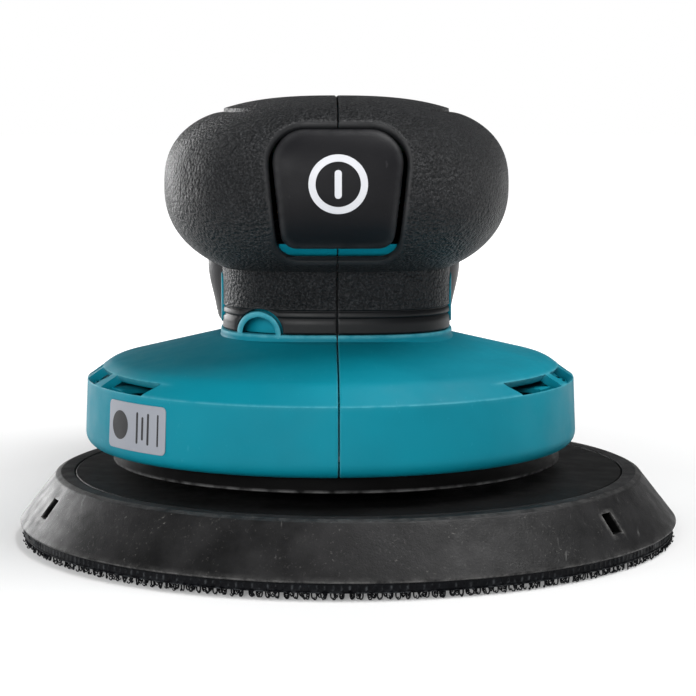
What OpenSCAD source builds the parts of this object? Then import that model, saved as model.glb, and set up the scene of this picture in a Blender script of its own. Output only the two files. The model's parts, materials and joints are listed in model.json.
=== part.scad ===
// Cordless random-orbit sander with a palm-grip head, a round fan bell and a round pad.
// Origin: motor axis at the working plane. +Z up, front (button) towards -Y, battery towards +Y.

/* [Pad] */
// Diameter of the pad at its lower edge
pad_d = 150; // [146:1:154]
// Diameter of the flat top of the pad
pad_top_d = 133; // [130:1:136]
// Height of the pad's top above the working plane
pad_top_z = 14.8; // [14.4:0.1:15.2]
// Thickness of the hook layer
hook_t = 3.5; // [3:0.1:4]
// Distance from the motor axis to the pad axis
orbit = 2.75; // [2.5:0.05:3]

/* [Bell] */
// Radius of the bell at its foot
bell_r = 56; // [55:0.5:57]
// Sideways offset of the bell from the motor axis
bell_x = -1.25; // [-1.5:0.05:1.5]
// Height of the bell's foot
bell_z = 21; // [20.5:0.1:21.5]
// Height of the crease where the side wall meets the chamfer
crease_z = 36; // [35:0.5:37]
// Wall thickness of the bell
bell_wall = 2.6; // [2.2:0.1:3]

/* [Neck and head] */
// Half width of the neck
neck_a = 25.8; // [25:0.1:26.5]
// Reach of the neck to the front
neck_f = 22.5; // [22:0.1:24]
// Reach of the neck to the rear
neck_r = 38; // [36:0.5:40]
// Half width of the head
head_a = 38.6; // [37:0.1:40]
// Reach of the head to the front
head_f = 44; // [42:0.5:46]
// Reach of the head to the rear
head_r = 46; // [44:0.5:48]
// Height of the widest section of the head
head_z = 79.5; // [79:0.1:80]
// Height of the head above its widest section
head_up = 20; // [19:0.1:21]
// Height of the lower bulge of the head
head_down = 22.8; // [22:0.1:23.5]
// Thickness of the rubber skin
rubber_t = 1.8; // [1.5:0.1:2]
// Thickness of the hard core under the rubber
core_t = 2; // [1.8:0.1:2.2]

/* [Power button] */
// Half width of the button at its top
button_a = 13.7; // [13:0.1:14]
// Height of the button's lower edge
button_z0 = 67; // [66.5:0.1:67.5]
// Height of the button's upper edge
button_z1 = 92.4; // [92:0.1:92.8]

/* [Battery] */
// Width of the battery
batt_w = 64; // [62:1:66]
// Length of the battery
batt_l = 84; // [82:1:90]
// Height of the battery's underside
batt_z = 42; // [41:0.5:43]
// Distance from the motor axis to the battery's front face
batt_y = 50; // [50:0.5:54]

/* [Drive] */
// Outer radius of the stator
stator_r = 17.5; // [17:0.1:17.8]
// Radius of the fan
fan_r = 42; // [38:0.5:43]
// Number of fan blades
fan_blades = 11; // [7:1:15]

/* [Hidden] */
$fn = 72;
seam = 0.25;          // gap between the two halves of the clamshell
fit = 0.03;           // radial running clearance
gap = 0.3;            // clearance between neighbouring pieces
low_n = 2.3;          // roundness of the lower bulge
up_n = 2.6;           // roundness of the upper dome, seen from the front
front_n = 4;          // roundness of the upper dome, seen from the side
plan_n = 2.7;         // roundness of the head and neck, seen from above
crown_a = 25.5;       // half width of the raised crown
crown_step = 0.6;     // height of the step at the crown's edge
collar_z = 47.4;      // where the rubber of the neck meets the bell
core_in = rubber_t + 0.35;
core_out = core_in + core_t;
roof_a = 26.6;        // where the bell's roof meets the neck
roof_z = 45.7;
bell_foot_r = 3;      // fillet at the bell's foot
bell_taper = 0.6;     // how much the side wall leans in
shoulder_r = 49.8;    // upper edge of the bell's chamfer
shoulder_z = 40.1;
skirt_r = 51;
skirt_z = 17;
hub_z = 19.5;         // underside of the eccentric hub
hub_screw_z = 30.6;
arch_x = -17.2;       // hooded recess at the foot of the neck
arch_z = 47.6;
arch_r = 4.9;
batt_top = 84;        // top of the battery case
tail_z0 = 84.6;       // underside of the tail that carries the battery
tail_z1 = 96;
tail_y0 = 27;
tail_y1 = 122;
tail_wall = 2.4;
shaft_r = 4;          // motor shaft, an 8 mm bore size
bearing_r = 11;       // ball bearing with an 8 mm bore
bearing_h = 7;
cell_r = 9.1;         // round battery cell
cell_l = 65;
battery_screw_spots = [for (x = [-24, 24], y = [batt_y + 9, batt_y + batt_l - 9]) [x, y]];
button_bar_y = -36.6; // retaining bar behind the button
switch_y = -29.5;     // front of the switch
button_drop = 0.8;    // how far the button's face sits below the rubber
opening_gap = 1.2;    // gap around the button
// Screws of the clamshell: y, z, distance of the head's seat and of the wall from the seam.
clam_screws = [[44, 29, 25, 31], [25, 56, 15, 21], [31, 66, 18, 25]];
boss_r = 4.6;
pocket_angles = [81.3, 201.3, 321.3]; // clip pockets in the pad's flank

// A cosine or sine raised to the power that makes a superellipse.
function cos_n(t, n) = pow(max(cos(t), 0), 2 / n);
function sin_n(t, n) = pow(max(sin(t), 0), 2 / n);
function sgn_pow(v, n) = sign(v) * pow(abs(v), 2 / n);

// One level of the head: [half width, reach to the front, reach to the rear, height], inset by t.
// A mark is [zone, place, inset]: zone 0 is the neck by height, 1 the lower bulge from 0 at
// the neck to 1 at the widest section, and 2 the dome from 0 at the widest section to 1 on top.
function neck_level(z, t) = [neck_a - t, neck_f - t, neck_r - t, z];
function bulge_level(w, t) =
    let (end = acos(pow((neck_a - t) / (head_a - t), low_n / 2)), phi = end * (1 - w),
        a = (head_a - t) * cos_n(phi, low_n), s = (a - neck_a + t) / (head_a - neck_a))
    [a, neck_f - t + (head_f - neck_f) * s, neck_r - t + (head_r - neck_r) * s,
        head_z - (head_down - t) * sin_n(phi, low_n)];
function dome_level(w, t) =
    let (phi = 90 * w)
    [(head_a - t) * cos_n(phi, up_n), (head_f - t) * cos_n(phi, front_n),
        (head_r - t) * cos_n(phi, front_n), head_z + (head_up - t) * sin_n(phi, up_n)];
function level(m, t) = m[0] == 0 ? neck_level(m[1], t)
    : m[0] == 1 ? bulge_level(m[1], t)
    : dome_level(m[1], t);

// A point on a level at the plan angle u, where -90 is the front.
function on_level(l, u) =
    [l[0] * sgn_pow(cos(u), plan_n), (sin(u) < 0 ? l[1] : l[2]) * sgn_pow(sin(u), plan_n), l[3]];
function clear_of_seam(p) = [max(p[0], seam / 2), p[1], p[2]];

// A closed skin between two grids of points of the same size.
module skin(outer, inner) {
    rows = len(outer);
    cols = len(outer[0]);
    size = rows * cols;
    function o(i, j) = i * cols + j;
    function n(i, j) = size + i * cols + j;
    function quad(a, b, c, d) = [[a, b, c], [a, c, d]];
    polyhedron(points = concat([for (r = outer) each r], [for (r = inner) each r]), faces = [
        for (i = [0 : rows - 2], j = [0 : cols - 2])
            each quad(o(i, j), o(i + 1, j), o(i + 1, j + 1), o(i, j + 1)),
        for (i = [0 : rows - 2], j = [0 : cols - 2])
            each quad(n(i, j + 1), n(i + 1, j + 1), n(i + 1, j), n(i, j)),
        for (j = [0 : cols - 2]) each quad(o(0, j), o(0, j + 1), n(0, j + 1), n(0, j)),
        for (j = [0 : cols - 2])
            each quad(o(rows - 1, j + 1), o(rows - 1, j), n(rows - 1, j), n(rows - 1, j + 1)),
        for (i = [0 : rows - 2]) each quad(o(i + 1, 0), o(i, 0), n(i, 0), n(i + 1, 0)),
        for (i = [0 : rows - 2])
            each quad(o(i, cols - 1), o(i + 1, cols - 1), n(i + 1, cols - 1), n(i, cols - 1))]);
}

// The right half of the head's surface between the marks' own insets and a deeper inset.
module half_skin(marks, depth, step) {
    angles = [for (u = [-90 : step : 90]) u];
    skin([for (m = marks) let (l = level(m, m[2])) [for (u = angles) clear_of_seam(on_level(l, u))]],
        [for (m = marks) let (l = level(m, depth)) [for (u = angles) clear_of_seam(on_level(l, u))]]);
}

// A patch of the head's front between two insets.
module front_patch(out, depth, reach = 36) {
    marks = concat([for (w = [0.35 : 0.13 : 0.9]) [1, w]], [for (w = [0 : 0.08 : 0.72]) [2, w]]);
    angles = [for (u = [-90 - reach : 6 : -90 + reach]) u];
    skin([for (m = marks) let (l = level(m, out)) [for (u = angles) on_level(l, u)]],
        [for (m = marks) let (l = level(m, depth)) [for (u = angles) on_level(l, u)]]);
}

// Turns a drawing of x and z into a prism along Y from y0 to y1.
module prism_y(y0, y1) {
    translate([0, y1, 0]) rotate([90, 0, 0]) linear_extrude(y1 - y0) children();
}

// Turns a drawing of y and z into a prism along X from x0 to x1.
module prism_x(x0, x1) {
    translate([x0, 0, 0]) rotate([90, 0, 90]) linear_extrude(x1 - x0) children();
}

// Outline of the button and of its opening, grown by a margin.
module button_outline(grow, drop = 0) {
    top_r = 7;
    low_r = 3.5;
    low_a = button_a - 1.6;
    hull() for (s = [-1, 1]) {
        translate([s * (button_a - top_r), button_z1 - top_r]) circle(top_r + grow, $fn = 32);
        translate([s * (low_a - low_r), button_z0 + low_r - drop]) circle(low_r + grow, $fn = 32);
    }
}

// Outline of the panel on the head's flank, in y and z.
module panel_outline(grow) {
    corner_r = 4;
    hull() for (p = [[12, 74], [36, 76], [34, 86], [10, 87.5]]) {
        translate(p) circle(corner_r + grow, $fn = 32);
    }
}

// A ring between two radii.
module ring(r_out, r_in, z0, z1) {
    translate([0, 0, z0]) difference() {
        cylinder(r = r_out, h = z1 - z0);
        translate([0, 0, -1]) cylinder(r = r_in, h = z1 - z0 + 2);
    }
}

// Rounded block that stands on z0, with vertical edges of radius r.
module block(w, y0, y1, z0, z1, r) {
    translate([0, 0, z0]) linear_extrude(z1 - z0) rounded_rect(w, y0, y1, r);
}

// Rectangle with four round corners, made of exact arcs.
module rounded_rect(w, y0, y1, r) {
    translate([-w / 2 + r, y0]) square([w - 2 * r, y1 - y0]);
    translate([-w / 2, y0 + r]) square([w, y1 - y0 - 2 * r]);
    for (x = [-w / 2 + r, w / 2 - r], y = [y0 + r, y1 - r]) translate([x, y]) circle(r);
}

// A coil spring along Z: a round wire swept along a helix, with flat ends left open.
module coil(r, wire_r, h, turns) {
    sides = 6;
    per_turn = 18;
    last = turns * per_turn;
    function at(i, k) =
        let (a = 360 * i / per_turn, q = 360 * k / sides, rr = r + wire_r * cos(q))
        [rr * cos(a), rr * sin(a), wire_r + (h - 2 * wire_r) * i / last + wire_r * sin(q)];
    function quad(a, b, c, d) = [[a, b, c], [a, c, d]];
    polyhedron(points = [for (i = [0 : last], k = [0 : sides - 1]) at(i, k)], faces = concat(
        [for (i = [0 : last - 1], k = [0 : sides - 1]) let (m = (k + 1) % sides)
            each quad(i * sides + k, (i + 1) * sides + k, (i + 1) * sides + m, i * sides + m)],
        [[for (k = [0 : sides - 1]) k]], [[for (k = [sides - 1 : -1 : 0]) last * sides + k]]));
}

// ---- housing ----

// Section of the bell's wall: side wall, chamfer and conical roof.
module bell_section() {
    foot_r = bell_foot_r;
    taper = bell_taper;
    difference() {
        union() {
            polygon([[skirt_r - 1.5, bell_z], [bell_r - foot_r, bell_z], [bell_r, bell_z + foot_r],
                [bell_r - taper, crease_z], [shoulder_r, shoulder_z], [roof_a, roof_z], [roof_a - 6, roof_z],
                [roof_a - 6, roof_z - bell_wall], [roof_a, roof_z - bell_wall],
                [shoulder_r - 1.2, shoulder_z - bell_wall], [bell_r - taper - bell_wall, crease_z - 1.6],
                [bell_r - bell_wall, bell_z + bell_wall], [skirt_r - 1.5, bell_z + bell_wall]]);
            translate([bell_r - foot_r, bell_z + foot_r]) circle(foot_r);
        }
        translate([bell_r - foot_r - 4, bell_z + bell_wall]) square([4 + foot_r - bell_wall, 4]);
    }
}

// Air vents through the chamfer: wedges between pairs of plan angles on the right side.
module bell_vents() {
    spans = [[-43.6, 18.4], [-22, 13.5], [-5.5, 13.5], [11, 13.5], [27.5, 16]];
    for (s = spans) rotate([0, 0, s[0]]) rotate_extrude(angle = s[1]) {
        polygon([[bell_r - 6, crease_z - 0.1], [bell_r + 2, crease_z - 0.1], [bell_r - 1.6, crease_z + 2.6],
            [bell_r - 9, crease_z + 2.6]]);
    }
}

// The right half of the housing: bell, foot of the neck and hard core of the head.
module shell_half() {
    marks = concat([[0, roof_z - 3.6, -gap], [0, collar_z - 0.3, -gap], [0, collar_z - 0.2, core_in],
        [0, 54, core_in]], [for (w = [0 : 0.2 : 0.8]) [1, w, core_in]],
        [for (w = [0 : 0.11 : 0.9]) [2, w, core_in]], [[2, 0.99999, core_in]]);
    half_skin(marks, core_out, 10);
}

// Half of the bell on one side of the seam, drawn about its own axis.
module bell_half(side) {
    intersection() {
        translate([bell_x, 0, 0]) difference() {
            rotate_extrude() bell_section();
            bell_vents();
            mirror([1, 0, 0]) bell_vents();
        }
        translate([side > 0 ? seam / 2 : -80, -80, 0]) cube([80 - seam / 2, 160, 60]);
    }
}

// Openings for the button and for the tail in the hard core.
module core_openings() {
    prism_y(-60, -25) button_outline(opening_gap - 0.3);
    prism_y(tail_y0 - gap, 80) tail_section(-0.1);
}

// Screw bosses along X on one side, from the seam to the wall.
module bosses(side) {
    for (s = clam_screws) translate([side * seam / 2, s[0], s[1]]) rotate([0, side * 90, 0]) {
        cylinder(r = boss_r, h = s[3]);
    }
}

module shell_left() {
    color([0, 0.5, 0.58]) difference() {
        union() {
            bell_half(-1);
            mirror([1, 0, 0]) shell_half();
            bosses(-1);
            intersection() {
                translate([arch_x, -14, arch_z]) rotate([90, 0, 0]) cylinder(r = arch_r, h = 6.8);
                translate([arch_x - 8, -22, collar_z - 1]) cube([16, 10, 10]);
            }
        }
        core_openings();
        translate([arch_x, -17, arch_z]) rotate([90, 0, 0]) cylinder(r = arch_r - 1.2, h = 8);
        for (s = clam_screws) translate([-s[2], s[0], s[1]]) rotate([0, 90, 0]) {
            cylinder(r = 1.5, h = s[2] + 1);
        }
    }
}

module shell_right() {
    color([0, 0.5, 0.58]) difference() {
        union() {
            bell_half(1);
            shell_half();
            bosses(1);
        }
        core_openings();
        for (s = clam_screws) translate([0, s[0], s[1]]) rotate([0, 90, 0]) {
            cylinder(r = 1.8, h = 60);
            translate([0, 0, s[2]]) cylinder(r = 3.3, h = 60);
        }
    }
}

// The right half of the rubber skin: smooth collar with two grooves, grained head, raised crown.
module grip_half() {
    crown_w = acos(pow(crown_a / head_a, up_n / 2)) / 90;
    groove = 0.5;
    marks = concat([[0, collar_z, 0], [0, 50.7, 0], [0, 50.9, groove], [0, 51.1, 0], [0, 52.2, 0],
        [0, 52.5, groove], [0, 52.8, 0], [0, 57, 0]], [for (w = [0 : 0.1 : 0.91]) [1, w, 0]],
        [for (w = [0 : 0.083 : crown_w - 0.04]) [2, w, 0]],
        [[2, crown_w - 0.008, crown_step], [2, crown_w + 0.004, 0]],
        [for (w = [crown_w + 0.05 : 0.05 : 0.96]) [2, w, 0]], [[2, 0.99999, 0]]);
    difference() {
        half_skin(marks, rubber_t, 9);
        prism_y(-60, -25) button_outline(opening_gap, 2.2);
        prism_x(20, 50) panel_outline(gap);
        prism_y(tail_y0 - gap, 80) tail_section(-0.1);
        for (s = clam_screws) translate([s[2] - 8, s[0], s[1]]) rotate([0, 90, 0]) {
            cylinder(r = boss_r + 0.2, h = 60);
        }
    }
}

module grip_left() {
    color([0.08, 0.08, 0.08]) difference() {
        mirror([1, 0, 0]) grip_half();
        translate([arch_x, -10, arch_z]) rotate([90, 0, 0]) cylinder(r = arch_r + gap, h = 20);
    }
}

module grip_right() {
    color([0.08, 0.08, 0.08]) grip_half();
}

module side_panel() {
    intersection() {
        half_skin(concat([for (w = [0.3 : 0.14 : 0.93]) [1, w, 0.2]],
            [for (w = [0 : 0.1 : 0.51]) [2, w, 0.2]]), rubber_t, 10);
        difference() {
            prism_x(20, 50) panel_outline(0);
            prism_y(tail_y0 - gap, 80) tail_section(-gap);
        }
    }
}
module side_panel_right() {
    color([0, 0.5, 0.58]) side_panel();
}
module side_panel_left() {
    color([0, 0.5, 0.58]) mirror([1, 0, 0]) side_panel();
}

// Arm behind the head that carries the battery: an arched roof with an open underside.
module tail_section(t) {
    half = batt_w / 2 - t;
    dome_h = tail_z1 - t - 88;
    translate([-half, tail_z0]) square([2 * half, 88 - tail_z0]);
    polygon([for (u = [0 : 6 : 180]) [half * sgn_pow(cos(u), 3), 88 + dome_h * sgn_pow(sin(u), 3)]]);
}

module tail_cover() {
    color([0.1, 0.1, 0.11]) difference() {
        prism_y(tail_y0, tail_y1) tail_section(0);
        translate([0, 0, -1]) prism_y(tail_y0 - 1, tail_y1 - tail_wall) tail_section(tail_wall);
        translate([-25.2, head_r, tail_z0 - 1]) cube([50.4, 100, 6.2]);
    }
}

module battery_rails() {
    color([0.12, 0.12, 0.12]) for (s = [-1, 1]) prism_y(batt_y + 1, tail_y1 - tail_wall - gap) {
        translate([s > 0 ? 20.6 : -28.8, tail_z0 + 0.2]) square([8.2, 1.5]);
        translate([s > 0 ? 25 : -29.5, tail_z0 + 0.2]) square([4.5, 3.1]);
    }
}

module terminal_block() {
    color([0.75, 0.6, 0.25]) {
        translate([-16, batt_y - 5.5, 85]) cube([32, 5, 6.5]);
        for (x = [-11, -3.6, 3.6, 11]) translate([x - 0.5, batt_y - 1, 86]) cube([1, 9, 3]);
    }
}

// Flexible ring that hangs from the bell and brakes the free spin of the pad.
module brake_ring() {
    lip = 1.6;
    color([0.05, 0.05, 0.05]) rotate_extrude() {
        polygon([[skirt_r - lip, skirt_z + 0.8], [skirt_r - lip + 0.8, skirt_z], [skirt_r - 0.6, skirt_z],
            [skirt_r, skirt_z + 0.6], [skirt_r, bell_z - 0.05], [skirt_r - 5, bell_z - 0.05],
            [skirt_r - 5, bell_z - 1.6], [skirt_r - lip, bell_z - 2]]);
    }
}

// Printed sticker on the bell's wall, a plain one.
module info_sticker() {
    start = 210.6;
    span = 20.5;
    z0 = 24.1;
    z1 = 34.3;
    lift = 0.03;
    thick = 0.18;
    wall_z = bell_z + bell_foot_r;
    function wall_r(z) = bell_r - bell_taper * (z - wall_z) / (crease_z - wall_z) + lift;
    color([0.75, 0.75, 0.8]) translate([bell_x, 0, 0]) rotate([0, 0, start]) rotate_extrude(angle = span) {
        polygon([[wall_r(z0), z0], [wall_r(z0) + thick, z0], [wall_r(z1) + thick, z1], [wall_r(z1), z1]]);
    }
}

// ---- motor ----

module motor_stator() {
    slots = 6;
    color([0.5, 0.5, 0.52]) difference() {
        ring(stator_r, 12.1, 56, 72);
        for (i = [0 : slots - 1]) rotate([0, 0, i * 360 / slots]) {
            translate([13.6, -2.2, 55]) cube([2.4, 4.4, 18]);
        }
    }
}

module stator_windings() {
    slots = 6;
    color([0.72, 0.4, 0.15]) {
        ring(15.9, 13.2, 52.5, 55.9);
        ring(15.9, 13.2, 72.1, 75);
        for (i = [0 : slots - 1]) rotate([0, 0, i * 360 / slots]) {
            translate([13.7, -2.1, 55]) cube([2.2, 4.2, 18]);
        }
    }
}

module bearing(z, r_out, r_in, h) {
    color([0.7, 0.7, 0.72]) translate([0, 0, z]) {
        ring(r_out, r_out - (r_out - r_in) * 0.3, 0, h);
        ring(r_in + (r_out - r_in) * 0.3, r_in, 0, h);
        ring(r_out - (r_out - r_in) * 0.29, r_in + (r_out - r_in) * 0.29, 0.6, h - 0.6);
    }
}
module upper_bearing() bearing(77, bearing_r, shaft_r + fit, bearing_h);
module lower_bearing() bearing(44.5, bearing_r, shaft_r + fit, bearing_h);

// Cup that holds a motor bearing, with a flange at its foot.
module bearing_cup(z, h, flange_r, flange_h) {
    wall = 1.8;
    ring(bearing_r + wall, bearing_r + 0.01, z, z + h);
    ring(flange_r, bearing_r + 0.5, z, z + flange_h);
}

module motor_bracket() {
    color([0.62, 0.63, 0.65]) difference() {
        bearing_cup(43, 9, 18, 2);
        for (a = [30, 150, 270]) rotate([0, 0, a]) translate([15.4, 0, 40]) cylinder(r = 1.6, h = 8);
    }
}

module bearing_cap() {
    color([0.15, 0.15, 0.16]) difference() {
        bearing_cup(76.5, 8, 20.5, 1.5);
        translate([-6, 13.6, 76]) cube([12, 8, 3]);
    }
}

module bracket_screws() {
    color([0.6, 0.6, 0.62]) for (a = [30, 150, 270]) rotate([0, 0, a]) translate([15.4, 0, 0]) {
        translate([0, 0, 43]) cylinder(r = 1.5, h = 5.5);
        translate([0, 0, 41.3]) cylinder(r = 2.7, h = 1.7);
    }
}

// Plate above the fan that turns its air out to the vents.
module fan_baffle() {
    color([0.15, 0.15, 0.15]) rotate_extrude() {
        polygon([[12, 40.2], [40, 38.2], [40, 36.9], [45.5, 36.9], [45.5, 35.7], [38.8, 35.7], [38.8, 37.1],
            [12, 39]]);
    }
}

module control_board() {
    color([0.05, 0.3, 0.15]) {
        block(36, -20, 24, 87, 88.6, 4);
        translate([-12, -2, 88.6]) cube([24, 16, 3.5]);
        for (x = [-12, 12]) translate([x, -12, 88.6]) cylinder(r = 3, h = 4);
    }
}

module switch_module() {
    color([0.15, 0.15, 0.16]) {
        translate([-7, switch_y, 76.3]) cube([14, 8.7, 8]);
        translate([0, switch_y, 79.5]) rotate([90, 0, 0]) cylinder(r = 1.6, h = 0.7);
    }
}

// Return spring between the switch and the button.
module button_spring() {
    length = switch_y - button_bar_y - 1.5;
    color([0.8, 0.8, 0.82]) translate([0, switch_y - 0.05, 79.5]) rotate([90, 0, 0]) coil(3.2, 0.35, length, 4);
}

module motor_wires() {
    color([0.7, 0.1, 0.1]) for (i = [-1, 0, 1]) {
        translate([i * 4, 15, 75.2]) cylinder(r = 0.9, h = 11.6);
    }
}

module housing_screws() {
    color([0.35, 0.35, 0.37]) for (s = clam_screws) translate([0, s[0], s[1]]) rotate([0, 90, 0]) {
        translate([0, 0, -s[2] + 4]) cylinder(r = 1.48, h = 2 * s[2] - 3.9);
        difference() {
            translate([0, 0, s[2] + 0.02]) cylinder(r = 3, h = 2.4);
            translate([0, 0, s[2] + 1.2]) cylinder(r = 1.4, h = 3, $fn = 6);
        }
    }
}

// ---- spindle ----

module motor_shaft() {
    color([0.75, 0.75, 0.77]) translate([0, 0, 29]) cylinder(r = shaft_r, h = 56);
}

module motor_rotor() {
    color([0.45, 0.45, 0.48]) ring(11.4, shaft_r + 0.01, 55, 74);
}

module fan() {
    color([0.2, 0.2, 0.22]) {
        ring(8, shaft_r + 0.01, 32.4, 38.2);
        ring(fan_r - 6, 7.5, 32.4, 33.6);
        for (i = [0 : fan_blades - 1]) rotate([0, 0, i * 360 / fan_blades]) translate([10, 0, 33.4]) {
            rotate([0, 0, -20]) cube([fan_r - 18, 1.2, 3]);
        }
    }
}

// Hub on the motor shaft with an offset bore for the pad's two bearings.
module eccentric_hub() {
    color([0.55, 0.56, 0.58]) difference() {
        union() {
            translate([orbit, 0, hub_z]) cylinder(r = 16, h = 9.5);
            translate([0, 0, hub_z]) cylinder(r = 10, h = 12.6);
        }
        translate([orbit, 0, hub_z - 1]) cylinder(r = bearing_r + 0.01, h = 9);
        translate([orbit, 0, hub_z]) cylinder(r = 8, h = 9);
        translate([0, 0, 28]) cylinder(r = shaft_r + 0.01, h = 6);
        translate([3, 0, hub_screw_z]) rotate([0, 90, 0]) cylinder(r = 1.51, h = 10);
    }
}

module counterweight() {
    color([0.4, 0.4, 0.42]) difference() {
        translate([0, 0, 22.5]) rotate([0, 0, 110]) {
            rotate_extrude(angle = 140) translate([8, 0]) square([26, 8]);
        }
        translate([orbit, 0, 20]) cylinder(r = 16.03, h = 12);
    }
}

module hub_screw() {
    color([0.3, 0.3, 0.32]) translate([shaft_r + 0.1, 0, hub_screw_z]) rotate([0, 90, 0]) {
        cylinder(r = 1.5, h = 5.4);
    }
}

module pad_bearing_upper() translate([orbit, 0, 0]) bearing(23.3, bearing_r, 5 + fit, 4);
module pad_bearing_lower() translate([orbit, 0, 0]) bearing(hub_z - 0.4, bearing_r, 5 + fit, 3.6);

// ---- pad ----

module pad_arbor() {
    color([0.72, 0.72, 0.74]) translate([orbit, 0, 0]) difference() {
        union() {
            translate([0, 0, 16.9]) cylinder(r = 5, h = 11);
            translate([0, 0, 16.9]) cylinder(r = 8, h = 1.8);
        }
        translate([0, 0, 16]) cylinder(r = 3, h = 10);
    }
}

module backing_plate() {
    color([0.1, 0.1, 0.1]) translate([orbit, 0, 0]) {
        ring(pad_top_d / 2 - 4, 3.05, pad_top_z - 3, pad_top_z);
        ring(18, 3.05, pad_top_z - 0.1, 16.85);
    }
}

// Bevelled foam body with a rim around the plate and rectangular pockets in its flank.
module pad_foam() {
    top_r = pad_top_d / 2;
    bottom_r = pad_d / 2;
    color([0.14, 0.14, 0.14]) translate([orbit, 0, 0]) difference() {
        rotate_extrude() polygon([[0, hook_t], [bottom_r, hook_t], [top_r + 0.6, pad_top_z - 0.8],
            [top_r, pad_top_z], [top_r - 3.98, pad_top_z], [top_r - 3.98, pad_top_z - 3.02],
            [8.02, pad_top_z - 3.02], [8.02, 8.02], [0, 8.02]]);
        for (a = pocket_angles) rotate([0, 0, a]) translate([bottom_r - 9, -1.9, 7.6]) cube([10, 3.8, 4]);
    }
}

module hook_layer() {
    color([0.03, 0.03, 0.03]) translate([orbit, 0, 0]) {
        cylinder(r = pad_d / 2 - 0.8, h = hook_t - 0.02);
    }
}

// Threaded stud moulded into the pad, screwed into the arbor.
module pad_stud() {
    color([0.6, 0.6, 0.62]) translate([orbit, 0, 0]) {
        translate([0, 0, 8.04]) cylinder(r = 7.98, h = 3.7);
        translate([0, 0, 11]) cylinder(r = 2.98, h = 14);
    }
}

// ---- power button ----

module power_button() {
    color([0.07, 0.07, 0.07]) {
        intersection() {
            front_patch(button_drop, core_out + 1.2);
            prism_y(-60, -25) button_outline(0);
        }
        translate([-16, button_bar_y, 76]) cube([32, 1.4, 7]);
        for (x = [-11, 8]) translate([x, button_bar_y - 3, 77]) cube([3, 3.1, 5]);
        translate([0, button_bar_y + 4.6, 79.5]) rotate([90, 0, 0]) cylinder(r = 2.2, h = 3.4);
    }
}

module button_icon() {
    icon_z = 81;
    color([0.9, 0.9, 0.92]) intersection() {
        front_patch(button_drop - 0.12, button_drop - 0.01, 18);
        prism_y(-60, -25) {
            difference() {
                translate([0, icon_z]) circle(6.2);
                translate([0, icon_z]) circle(4.7);
            }
            translate([-0.75, icon_z - 2.25]) square([1.5, 4.5]);
            for (s = [-1, 1]) translate([0, icon_z + s * 2.25]) circle(0.75);
        }
    }
}

// ---- battery ----

// Case of the battery: the front and rear ends are rounded in plan.
module battery_body(z0, z1, inset) {
    block(batt_w - 2 * inset, batt_y + inset, batt_y + batt_l - inset, z0, z1, 9 - inset);
}

module battery_tub() {
    split_z = 62;
    foot = 4;
    color([0.09, 0.09, 0.09]) difference() {
        union() {
            battery_body(batt_z + foot, split_z, 0);
            battery_body(batt_z, batt_z + foot + 0.1, 2.2);
            battery_body(batt_z + 1.6, batt_z + foot + 0.1, 0.7);
        }
        battery_body(batt_z + 2.2, split_z + 1, 3);
        for (p = battery_screw_spots) translate([p[0], p[1], batt_z - 1]) cylinder(r = 2.05, h = 4);
    }
}

module battery_lid() {
    split_z = 62;
    color([0.12, 0.12, 0.12]) difference() {
        union() {
            battery_body(split_z + 0.1, batt_top - 2, 0);
            battery_body(batt_top - 2.1, batt_top, 1.6);
            block(40, batt_y + 3, batt_y + 66, batt_top - 1, 87, 2);
            block(48.4, batt_y + 3, batt_y + 66, 86.7, 89.2, 2);
        }
        battery_body(split_z - 1, batt_top - 2.4, 3);
        for (x = [-11, -3.6, 3.6, 11]) {
            translate([x - 1.1, batt_y + 1, 85.4]) cube([2.2, 15.5, 5]);
            translate([x - 2.7, batt_y + 15.9, 84.4]) cube([5.4, 8.2, 1.8]);
        }
        translate([-9.3, batt_y + batt_l - 12, batt_top - 11]) cube([18.6, 13, 13]);
    }
}

module battery_cells() {
    color([0.1, 0.35, 0.6]) for (x = [-18.6, 0, 18.6], z = [54, 72]) {
        translate([x, batt_y + 8, z]) rotate([-90, 0, 0]) cylinder(r = cell_r - 0.1, h = cell_l);
    }
}

module cell_straps() {
    color([0.75, 0.75, 0.72]) for (x = [-18.6, 0, 18.6], y = [batt_y + 7.6, batt_y + 73.1]) {
        translate([x - 3, y, 54]) cube([6, 0.3, 18]);
    }
}

module battery_contacts() {
    color([0.8, 0.65, 0.3]) for (x = [-11, -3.6, 3.6, 11]) {
        translate([x - 2.6, batt_y + 16, 84.5]) cube([5.2, 8, 1.6]);
    }
}

module battery_screws() {
    color([0.4, 0.4, 0.42]) for (p = battery_screw_spots) translate([p[0], p[1], batt_z + 0.7]) {
        difference() {
            cylinder(r = 2, h = 1.5);
            translate([0, 0, -0.5]) cylinder(r = 1, h = 1.3, $fn = 6);
        }
    }
}

// Release button at the rear of the battery: it is pushed down to free the battery.
module battery_latch() {
    color([0.2, 0.2, 0.2]) difference() {
        translate([-8.8, batt_y + batt_l - 10.4, batt_top - 6]) cube([17.6, 9.6, 6.2]);
        for (i = [0 : 3]) translate([-7, batt_y + batt_l - 1.4, batt_top - 5 + i * 1.3]) cube([14, 1, 0.6]);
    }
}

module latch_spring() {
    color([0.8, 0.8, 0.82]) translate([0, batt_y + batt_l - 6, batt_top - 10.9]) coil(2.4, 0.35, 4.8, 4);
}

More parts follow.
